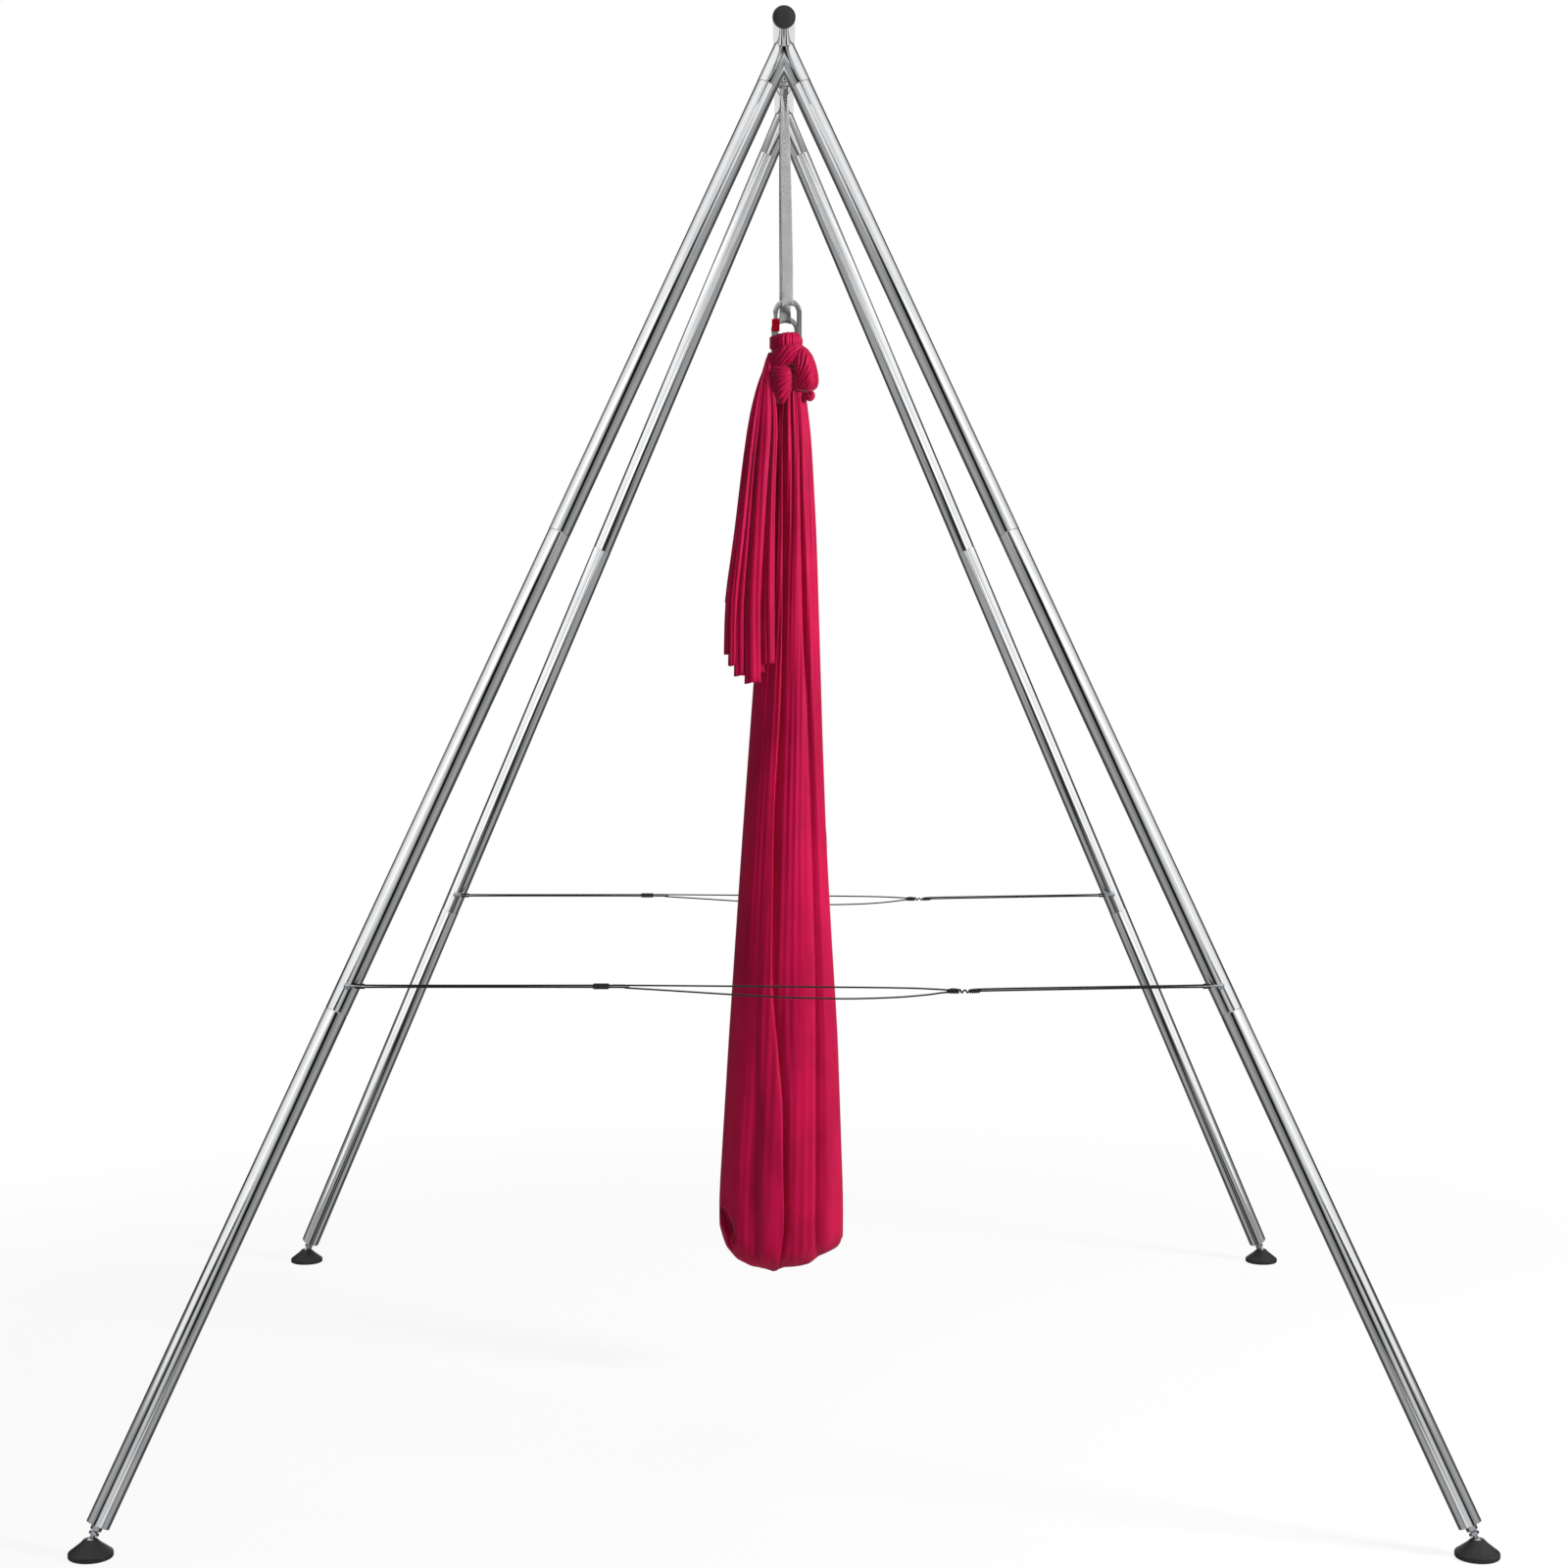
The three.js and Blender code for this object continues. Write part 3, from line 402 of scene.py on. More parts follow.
@contextmanager
def edit_mode(piece: Object) -> Iterator[None]:
    """Edit one piece's mesh inside a with block, with nothing selected in it at first."""
    pick(piece)
    bpy.ops.object.mode_set(mode="EDIT")
    bpy.ops.mesh.select_all(action="DESELECT")
    try:
        yield
    finally:
        bpy.ops.object.mode_set(mode="OBJECT")


def settle(piece: Object) -> None:
    """Merge a closed mesh's doubles and turn its faces outwards."""
    with edit_mode(piece):
        bpy.ops.mesh.select_all(action="SELECT")
        bpy.ops.mesh.remove_doubles(threshold=MERGE_GAP)
        bpy.ops.mesh.normals_make_consistent(inside=False)


def turn_outwards(piece: Object) -> None:
    """Turn the faces of a piece of several shells outwards."""
    mesh = bmesh.new()
    mesh.from_mesh(piece.data)
    bmesh.ops.recalc_face_normals(mesh, faces=mesh.faces)
    mesh.to_mesh(piece.data)
    mesh.free()


def apply_modifier(piece: Object, kind: str, **settings: object) -> None:
    """Add a modifier of that type with its settings, and apply it."""
    modifier = piece.modifiers.new(kind.lower(), kind)
    for name, value in settings.items():
        setattr(modifier, name, value)
    pick(piece)
    bpy.ops.object.modifier_apply(modifier=modifier.name)


def bevel_edges(
    piece: Object, chosen: Callable[[bmesh.types.BMEdge], bool], width: float, segments: int
) -> None:
    """Bevel some edges of a piece.

    Args:
        piece: The piece.
        chosen: Tells whether an edge is one of them.
        width: Width of the bevel in mm.
        segments: Its number of faces.
    """
    with edit_mode(piece):
        bpy.ops.mesh.select_mode(type="EDGE")
        mesh = bmesh.from_edit_mesh(piece.data)
        for edge in mesh.edges:
            edge.select_set(chosen(edge))
        bmesh.update_edit_mesh(piece.data)
        bpy.ops.mesh.bevel(offset=width * MM, segments=segments, affect="EDGES")
        bpy.ops.mesh.select_mode(type="VERT")


def apply_place(piece: Object) -> None:
    """Move a piece's place, turn and scale into its mesh."""
    pick(piece)
    bpy.ops.object.transform_apply(location=True, rotation=True, scale=True)


def drawn(name: str, profile: Pairs) -> Object:
    """Draw a profile point by point.

    Args:
        name: The piece's name.
        profile: Radius and height of each point, in mm.

    Returns:
        The line, at the origin.
    """
    deselect_all()
    first = Vector((profile[0][0], 0, profile[0][1])) * MM
    bpy.ops.mesh.primitive_plane_add(size=SEED_SIZE, location=first)
    piece = bpy.context.object
    piece.name = name
    apply_place(piece)
    with edit_mode(piece):
        mesh = bmesh.from_edit_mesh(piece.data)
        mesh.verts.ensure_lookup_table()
        bmesh.ops.delete(mesh, geom=list(mesh.verts[1:]), context="VERTS")
        mesh.verts.ensure_lookup_table()
        mesh.verts[0].co = first
        mesh.verts[0].select_set(True)
        bmesh.update_edit_mesh(piece.data)
        for (r0, z0), (r1, z1) in zip(profile, profile[1:]):
            step = ((r1 - r0) * MM, 0, (z1 - z0) * MM)
            bpy.ops.mesh.extrude_region_move(TRANSFORM_OT_translate={"value": step})
    return piece


def spun(name: str, profile: Pairs, steps: int = 64) -> Object:
    """Draw a profile and spin it round Z.

    Args:
        name: The piece's name.
        profile: Radius and height of each point, in mm.
        steps: Number of faces round the axis.

    Returns:
        The turned piece, at the origin.
    """
    piece = drawn(name, profile)
    with edit_mode(piece):
        bpy.ops.mesh.select_all(action="SELECT")
        bpy.ops.mesh.spin(steps=steps, angle=TAU, center=(0, 0, 0), axis=(0, 0, 1))
    settle(piece)
    return piece


def arc_points(
    centre: tuple[float, float], radius: float, start: float, stop: float, count: int
) -> Pairs:
    """List points of an arc in a profile.

    Args:
        centre: Radius and height of the arc's centre.
        radius: Its radius.
        start: First angle in degrees, from the outward direction.
        stop: Last angle.
        count: Number of steps.

    Returns:
        The points, both ends included.
    """
    angles = [math.radians(start + (stop - start) * i / count) for i in range(count + 1)]
    return [(centre[0] + radius * math.cos(a), centre[1] + radius * math.sin(a)) for a in angles]


def finish_piece(piece: Object, material: Material, angle: float) -> Object:
    """Smooth a piece up to an edge angle in degrees and give it its material."""
    pick(piece)
    bpy.ops.object.shade_smooth_by_angle(angle=math.radians(angle))
    piece.data.materials.clear()
    piece.data.materials.append(material)
    return piece


def copy_of(piece: Object, name: str, place: Matrix) -> Object:
    """Copy a piece with its own mesh, set in place.

    Args:
        piece: The pattern, modelled at the origin.
        name: The copy's name.
        place: Where the copy goes.

    Returns:
        The copy, its place in its mesh.
    """
    twin = piece.copy()
    twin.data = piece.data.copy()
    twin.name = name
    twin.data.name = name
    bpy.context.collection.objects.link(twin)
    twin.data.transform(place)
    if place.determinant() < 0:
        twin.data.flip_normals()
    return twin


def drop(*pieces: Object) -> None:
    """Remove patterns and tools that were only needed for modelling."""
    for piece in pieces:
        bpy.data.objects.remove(piece, do_unlink=True)


def merge(name: str, *pieces: Object) -> Object:
    """Join several meshes as one piece of that name."""
    deselect_all()
    for piece in pieces:
        piece.select_set(True)
    bpy.context.view_layer.objects.active = pieces[0]
    bpy.ops.object.join()
    pieces[0].name = name
    pieces[0].data.name = name
    return pieces[0]


def carve(piece: Object, tool: Object, operation: str) -> None:
    """Apply a Boolean of a tool to a piece and remove the tool."""
    apply_modifier(piece, "BOOLEAN", operation=operation, solver="EXACT", object=tool)
    drop(tool)


def block(size: tuple[float, float, float], place: Matrix = Matrix()) -> Object:
    """Add a box of a size in mm, in place."""
    deselect_all()
    bpy.ops.mesh.primitive_cube_add(size=1)
    piece = bpy.context.object
    piece.data.transform(place @ Matrix.Diagonal((*(side * MM for side in size), 1)))
    return piece


def prism(
    name: str, sides: int, radius: float, depth: float, middle: float = 0.0, bevel: float = 0.0
) -> Object:
    """Add a prism round Z, its upright edges bevelled.

    Args:
        name: Its name.
        sides: Number of its flats.
        radius: Corner radius in mm.
        depth: Length along Z in mm.
        middle: Height of its middle in mm.
        bevel: Width of the bevel in mm.

    Returns:
        The prism.
    """
    deselect_all()
    bpy.ops.mesh.primitive_cylinder_add(
        vertices=sides, radius=radius * MM, depth=depth * MM, location=(0, 0, middle * MM)
    )
    piece = bpy.context.object
    piece.name = name
    apply_place(piece)
    if bevel:
        upright = depth * MM / 2
        bevel_edges(piece, lambda edge: abs(edge.verts[0].co.z - edge.verts[1].co.z) > upright, bevel, 3)
    return piece


def ride_and_replace(piece: Object, body: str, slot: str, *nodes: str) -> None:
    """Tie a piece to its body and hide the nodes it stands for."""
    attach(piece, body)
    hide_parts(*nodes)
    log.info("piece %s rides on %s, %d faces", piece.name, body, len(piece.data.polygons))


def grid_piece(
    name: str, points: np.ndarray, material: Material, wrap: bool = False, turned: bool = False
) -> Object:
    """Make a sheet mesh through a grid of points.

    Args:
        name: The piece's name.
        points: Rows by columns by 3, in mm.
        material: Its material.
        wrap: Whether the last column joins the first.
        turned: Whether the cloth's length runs along the columns.

    Returns:
        The piece, its UV map in metres of cloth.
    """
    rows, columns = points.shape[:2]
    spans = columns if wrap else columns - 1
    row, column = np.meshgrid(np.arange(rows - 1), np.arange(spans), indexing="ij")
    row, column = row.ravel(), column.ravel()
    here, below = row * columns, (row + 1) * columns
    following = (column + 1) % columns
    faces = np.stack([here + column, here + following, below + following, below + column], axis=1)
    mesh = bpy.data.meshes.new(name)
    mesh.from_pydata((points.reshape(-1, 3) * MM).tolist(), [], faces.tolist())
    layer = mesh.uv_layers.new(name="cloth")
    uv = cloth_uv(points, wrap)
    if turned:
        uv = uv[..., ::-1]
    corners = [(row, column), (row, column + 1), (row + 1, column + 1), (row + 1, column)]
    flat = np.stack([uv[r, c] for r, c in corners], axis=1) * MM
    layer.data.foreach_set("uv", flat.reshape(-1).astype(np.float32))
    mesh.polygons.foreach_set("use_smooth", np.ones(len(mesh.polygons), dtype=bool))
    mesh.materials.append(material)
    piece = bpy.data.objects.new(name, mesh)
    bpy.context.collection.objects.link(piece)
    return piece


def lengths_along(points: np.ndarray) -> np.ndarray:
    """Measure how far along a polyline each of its points is."""
    return np.concatenate([[0], np.cumsum(np.linalg.norm(np.diff(points, axis=0), axis=1))])


def cloth_uv(points: np.ndarray, wrap: bool) -> np.ndarray:
    """Measure a grid of points along one row and one column, so that threads keep their size.

    Args:
        points: Rows by columns by 3, in mm.
        wrap: Whether the last column joins the first.

    Returns:
        The UV grid in mm, one column wider than the points when wrapped.
    """
    middle = points[points.shape[0] // 2]
    ring = np.concatenate([middle, middle[:1]]) if wrap else middle
    spine = points[:, points.shape[1] // 3]
    return np.stack(np.meshgrid(lengths_along(ring), lengths_along(spine)), axis=-1)


def thicken(piece: Object, thickness: float) -> None:
    """Give a sheet its thickness in mm, inwards from its outer face."""
    apply_modifier(piece, "SOLIDIFY", thickness=thickness * MM, offset=-1, use_rim=True)


def smooth_path(points: Rows, spacing: float) -> np.ndarray:
    """Run a Catmull-Rom curve through points and step it evenly.

    Args:
        points: The points, in mm.
        spacing: Length of a step in mm.

    Returns:
        The stepped points.
    """
    knots = np.array(points, float)
    padded = np.vstack([2 * knots[0] - knots[1], knots, 2 * knots[-1] - knots[-2]])
    t = np.linspace(0, 1, 24, endpoint=False)[:, None]
    pieces = []
    for a, b, c, d in zip(padded, padded[1:], padded[2:], padded[3:]):
        square, cube = 2 * a - 5 * b + 4 * c - d, 3 * b - a - 3 * c + d
        pieces.append(0.5 * (2 * b + (c - a) * t + square * t**2 + cube * t**3))
    return even_path(np.vstack([*pieces, knots[-1:]]), spacing)


def even_path(points: np.ndarray, spacing: float) -> np.ndarray:
    """Step a polyline evenly, about spacing mm apart."""
    length = lengths_along(points)
    count = max(2, int(round(length[-1] / spacing)) + 1)
    at = np.linspace(0, length[-1], count)
    return np.stack([np.interp(at, length, points[:, i]) for i in range(3)], axis=1)


def directions(path: np.ndarray) -> np.ndarray:
    """Find a path's unit direction at each point."""
    tangent = np.gradient(path, axis=0)
    return tangent / np.linalg.norm(tangent, axis=1)[:, None]


def path_frames(path: np.ndarray, start_normal: Sequence[float]) -> tuple[np.ndarray, np.ndarray]:
    """Carry a normal along a path without twist.

    Args:
        path: The points.
        start_normal: The first point's normal, about square to the path.

    Returns:
        Normals and binormals at each point.
    """
    tangent = directions(path)
    normal = np.empty_like(path)
    current = np.array(start_normal, float)
    for i, direction in enumerate(tangent):
        current = current - direction * current.dot(direction)
        current /= np.linalg.norm(current)
        normal[i] = current
    return normal, np.cross(tangent, normal)


def round_rope(name: str, path: np.ndarray, radius: float, material: Material, sides: int = 12) -> Object:
    """Sweep a round section along a path, its ends closed.

    Args:
        name: The piece's name.
        path: Evenly stepped points in mm.
        radius: Radius in mm.
        material: Its material.
        sides: Points round it.

    Returns:
        The rope.
    """
    normal, binormal = path_frames(path, (0.05, 1, 0.02))
    step = np.linspace(0, TAU, sides, endpoint=False)[None, :, None]
    body = path[:, None] + radius * (np.cos(step) * normal[:, None] + np.sin(step) * binormal[:, None])
    rounded = []
    for end, beside in ((0, 1), (-1, -2)):
        outward = path[end] - path[beside]
        outward = outward / np.linalg.norm(outward)
        rounded.append([
            path[end] + (body[end] - path[end]) * share + outward * radius * out
            for share, out in ((0.87, 0.5), (0.5, 0.87), (1e-4, 1.0))
        ])
    points = np.concatenate([np.array(rounded[0][::-1]), body, np.array(rounded[1])])
    return grid_piece(name, points, material, wrap=True)


# The frame


@dataclass(frozen=True)
class LegLine:
    """One leg's straight axis, from where the leg axes meet to the ball of its foot."""

    end: End
    side: Side

    @property
    def apex(self) -> Vector:
        """Where the axis starts."""
        return Vector((0, self.end.value * 399, 2883)) * MM

    @property
    def ball(self) -> Vector:
        """The centre of the foot's ball."""
        return Vector((self.side.value * 1275, self.end.value * 1152, BALL_HEIGHT)) * MM

    @property
    def down(self) -> Vector:
        """The direction down the leg."""
        return (self.ball - self.apex).normalized()

    @property
    def facing(self) -> Vector:
        """The direction square to the leg that looks to the front."""
        front = Vector((0, -1, 0))
        return (front - self.down * front.dot(self.down)).normalized()

    def at(self, distance: float) -> Vector:
        """Find the point that many mm down the axis."""
        return self.apex + self.down * distance * MM

    def frame(self, distance: float) -> Matrix:
        """Build the placing matrix whose Z runs down the leg."""
        return axes(self.facing, self.down.cross(self.facing), self.down, self.at(distance))

    def foot_frame(self) -> Matrix:
        """Build the placing matrix at the ball, whose Z runs up the leg."""
        return axes(self.facing, (-self.down).cross(self.facing), -self.down, self.ball)


def axes(x: Vector, y: Vector, z: Vector, place: Vector) -> Matrix:
    """Build a matrix from three axes and a place."""
    matrix = Matrix((x, y, z)).transposed().to_4x4()
    matrix.translation = place
    return matrix


def mm_place(x: float, y: float, z: float) -> Matrix:
    """Build a move by millimetres."""
    return Matrix.Translation(Vector((x, y, z)) * MM)


@dataclass
class TubeFrame:
    """The chromed top bar with its welded stubs and the three tubes of each leg."""

    chrome: Material
    plastic: Material
    radius: float = 22.5
    inner: float = 20.5
    neck: float = 20.2
    bar_inner: float = 20.0
    bar_half: float = 588
    stub: float = 88
    neck_length: float = 80
    section: float = 1031.97
    joint: float = 0.4
    edge: float = 0.8
    round_steps: int = 96

    def build(self) -> None:
        """Model the bar, the leg tubes and the caps."""
        self.build_bar()
        self.build_legs()
        self.build_caps()

    def edge_arc(self, height: float, start: float, stop: float) -> Pairs:
        """List a rolled tube edge round a corner."""
        return arc_points((self.radius - self.edge, height), self.edge, start, stop, 5)

    def build_bar(self) -> None:
        """Spin the bar, weld four stubs on it and bore it through."""
        half, r = self.bar_half, self.radius
        neck_end = self.stub + self.neck_length
        level = mm_place(0, 0, BAR_HEIGHT) @ ALONG_Y
        rim = [(0, -half), (r - 0.4, -half), (r, -half + 0.4), (r, half - 0.4), (r - 0.4, half), (0, half)]
        bar = spun("top_bar_chromed", rim, self.round_steps)
        bar.data.transform(level)
        profile = [(0, -8), (r, -8), *self.edge_arc(self.stub - self.edge, 0, 90)]
        profile += [(self.neck, self.stub), (self.neck, neck_end), (0, neck_end)]
        pattern = spun("stub", profile, self.round_steps)
        for end, side in CORNERS:
            carve(bar, copy_of(pattern, "stub_here", LegLine(end, side).frame(0)), "UNION")
        past = half + 5
        hole = [(0, -past), (self.bar_inner, -past), (self.bar_inner, past), (0, past)]
        bore = spun("bore", hole, self.round_steps)
        bore.data.transform(level)
        carve(bar, bore, "DIFFERENCE")
        drop(pattern)
        finish_piece(bar, self.chrome, 30)
        ride_and_replace(bar, "frame", "chrome_tube", "top_bar")

    def build_legs(self) -> None:
        """Spin the necked tube and the plain one, and set them on each leg."""
        length = self.section - self.joint
        neck, thin, neck_end = self.neck, self.neck - 2, length + self.neck_length
        start = [(self.inner, 0), *self.edge_arc(self.edge, -90, 0)]
        start += self.edge_arc(length - self.edge, 0, 90)
        necked = start + [(neck, length), (neck, neck_end), (thin, neck_end), (thin, length)]
        necked += [(self.inner, length - 3), start[0]]
        plain = start + [(self.inner, length), start[0]]
        patterns = [spun("necked", necked, self.round_steps), spun("plain", plain, self.round_steps)]
        for pattern in patterns:
            finish_piece(pattern, self.chrome, 30)
        for end, side in CORNERS:
            corner = corner_name(end, side)
            line = LegLine(end, side)
            for step, section in enumerate(("upper", "middle", "lower")):
                place = line.frame(self.stub + step * self.section + self.joint)
                tube = copy_of(patterns[step // 2], f"{section}_tube_{corner}", place)
                ride_and_replace(tube, "frame", "chrome_tube", f"leg_{section}_{corner}")
        drop(*patterns)

    def build_caps(self) -> None:
        """Spin the push-in cap, with a rolled rim and a shallow ring in its face."""
        profile = [(0, 0.3), (17.3, 0.3), (17.3, -18), (19.7, -18), (19.7, 0.3), (23, 0.3), (23, 2.4)]
        profile += arc_points((21.4, 2.4), 1.6, 0, 90, 6)[1:]
        profile += [(20.6, 4.0), (20.2, 3.7), (19.6, 3.7), (19.2, 4.0), (10, 4.15), (0, 4.2)]
        cap = finish_piece(spun("cap", profile, self.round_steps), self.plastic, 40)
        for end in End:
            turn = Matrix.Rotation(end.value * -math.pi / 2, 4, "X")
            place = mm_place(0, end.value * self.bar_half, BAR_HEIGHT) @ turn
            name = end.name.lower()
            piece = copy_of(cap, f"end_cap_{name}", place)
            ride_and_replace(piece, "frame", "cap_plastic", f"bar_cap_{name}")
        drop(cap)


@dataclass
class LevellingFeet:
    """A threaded plug, ball stud, lock nut and swivelling rubber pad under each leg."""

    steel: Material
    rubber: Material
    ball: float = 8
    thread: float = 6
    thread_depth: float = 0.85
    pitch: float = 1.75
    hex_flats: float = 17
    nut_flats: float = 19

    def build(self) -> None:
        """Model one foot and set it under each leg."""
        plug, stud, nut, pad = self.plug(), self.stud(), self.nut(), self.pad()
        for end, side in CORNERS:
            corner = corner_name(end, side)
            line = LegLine(end, side)
            tilted = line.foot_frame()
            flat = Matrix.Translation((line.ball.x, line.ball.y, 0))
            for pattern, name, place, body, slot, node in (
                (plug, "leg_insert", tilted, "frame", "steel", "leg_plug"),
                (stud, "levelling_stud", tilted, f"foot_{corner}", "steel", "foot_stud"),
                (nut, "lock_nut", tilted, f"foot_{corner}", "steel", "foot_nut"),
                (pad, "rubber_pad", flat, f"pad_{corner}", "rubber", "foot_pad"),
            ):
                ride_and_replace(copy_of(pattern, f"{name}_{corner}", place), body, slot, f"{node}_{corner}")
        drop(plug, stud, nut, pad)

    def hexagon(self, name: str, flats: float, height: float, base: float) -> Object:
        """Cut a hexagon prism with a turned chamfer on both faces, as on a forged nut.

        Args:
            name: Its name.
            flats: Width across its flats.
            height: Its height.
            base: Its lower face.

        Returns:
            The hexagon.
        """
        corner = flats / math.sqrt(3)
        piece = prism(name, 6, corner, height, base + height / 2, 0.3)
        low, wide = flats / 2 - 0.2, corner + 0.5
        rise = (wide - low) * math.tan(math.radians(30))
        top = base + height
        cone = [(0, base), (low, base), (wide, base + rise), (wide, top - rise), (low, top), (0, top)]
        carve(piece, spun("chamfer", cone, 72), "INTERSECT")
        return piece

    def screw_thread(self, start: float, stop: float) -> Object:
        """Wind one V of thread up the shank.

        Args:
            start: Lowest height.
            stop: Highest height.

        Returns:
            The thread, open at its ends, which the hexagon and the plug hide.
        """
        crest, root, p = self.thread, self.thread - self.thread_depth, self.pitch
        ridge = [(root, 0), (crest, p * 0.42), (crest, p * 0.54), (root, p * 0.96), (root, p)]
        piece = drawn("thread", [(r, start + z) for r, z in ridge])
        apply_modifier(
            piece,
            "SCREW",
            screw_offset=p * MM,
            iterations=int((stop - start) / p),
            steps=36,
            render_steps=36,
            use_merge_vertices=True,
            merge_threshold=MERGE_GAP,
            use_normal_calculate=True,
        )
        with edit_mode(piece):
            bpy.ops.mesh.select_all(action="SELECT")
            bpy.ops.mesh.normals_make_consistent(inside=False)
        return piece

    def stud(self) -> Object:
        """Turn the ball, neck and shank, and add the hexagon and the thread."""
        neck = math.degrees(math.acos(4.5 / self.ball))
        ball = arc_points((0, 0), self.ball, -90, neck, 20)
        ball[0] = (0, -self.ball)
        profile = [*ball, (4.5, 11), (5.2, 12.0), (5.1, 12.4), (5.1, 69), (4.4, 70), (0, 70)]
        shank = finish_piece(spun("stud", profile, 48), self.steel, 40)
        collar = finish_piece(self.hexagon("collar", self.hex_flats, 6, 12), self.steel, 25)
        thread = finish_piece(self.screw_thread(17.6, 69), self.steel, 25)
        return merge("stud", shank, collar, thread)

    def nut(self) -> Object:
        """Cut the lock nut and bore it, with a countersink at each face."""
        base, height = 20.7, 9.5
        nut = self.hexagon("nut", self.nut_flats, height, base)
        r, top = self.thread + 0.08, base + height
        hole = [(0, base - 1), (r + 1.6, base - 1), (r, base + 0.7)]
        hole += [(r, top - 0.7), (r + 1.6, top + 1), (0, top + 1)]
        carve(nut, spun("bore", hole, 48), "DIFFERENCE")
        return finish_piece(nut, self.steel, 25)

    def plug(self) -> Object:
        """Turn the threaded insert in the leg's end."""
        base, top, outer, bore = 30.5, 60.5, 20.2, 6.1
        profile = [(bore, base + 0.6), (bore + 0.6, base), (outer - 0.8, base), (outer, base + 0.8)]
        profile += [(outer, top), (bore, top), (bore, base + 0.6)]
        return finish_piece(spun("plug", profile, 72), self.steel, 30)

    def pad(self) -> Object:
        """Turn the rubber pad: treaded sole, upright rim, hollow-sided cone and a lipped socket."""
        gap = self.ball + 0.35
        angles = [math.radians(a) for a in range(22, -91, -7)]
        socket = [(gap * math.cos(a), BALL_HEIGHT + gap * math.sin(a)) for a in angles]
        top = socket[0][1] + 0.9
        profile = [(0, 1.2), (12, 1.2), (13, 0), (19, 0), (20, 1.2), (26, 1.2), (27, 0), (38.6, 0)]
        profile += arc_points((38.6, 2.9), 2.9, -90, 0, 6)[1:]
        profile += [(41.5, 7.6)]
        profile += arc_points((37.7, 7.6), 3.8, 0, 56, 6)[1:]
        profile += [(36.8, 12.9), (31.5, 17.2), (26.0, 21.4), (21.0, 25.2), (17.4, 28.6), (14.9, 31.2)]
        profile += [(13.4, 32.9), (12.2, top - 0.3), (11.2, top), (9.2, top), (8.5, top - 0.3)]
        profile += [*socket, (0, BALL_HEIGHT - gap)]
        return finish_piece(spun("pad", profile, 96), self.rubber, 40)


@dataclass(frozen=True)
class TetherEnd:
    """Where one leg's bolt, hook and cord bight are, worked out from its leg."""

    line: LegLine
    eye_out: float = 24.8
    along: float = 2100
    hook_length: float = 30
    bend: float = 3.9

    @property
    def inward(self) -> Vector:
        """The hook's pull, towards the middle of the rig and square to the bolt."""
        sign = self.line.side.value
        facing = self.line.facing
        return (Vector((-sign, 0, 0)) + facing * sign * facing.x).normalized()

    @property
    def eye(self) -> Vector:
        """The centre of the hook's eye, on the bolt."""
        return self.line.at(self.along) + self.line.facing * self.eye_out * MM

    @property
    def ring(self) -> Vector:
        """The centre of the hook's level ring."""
        return self.eye + self.inward * self.hook_length * MM

    @property
    def bend_centre(self) -> Vector:
        """The centre that the cord's bight turns about."""
        return self.ring + self.inward * self.bend * MM


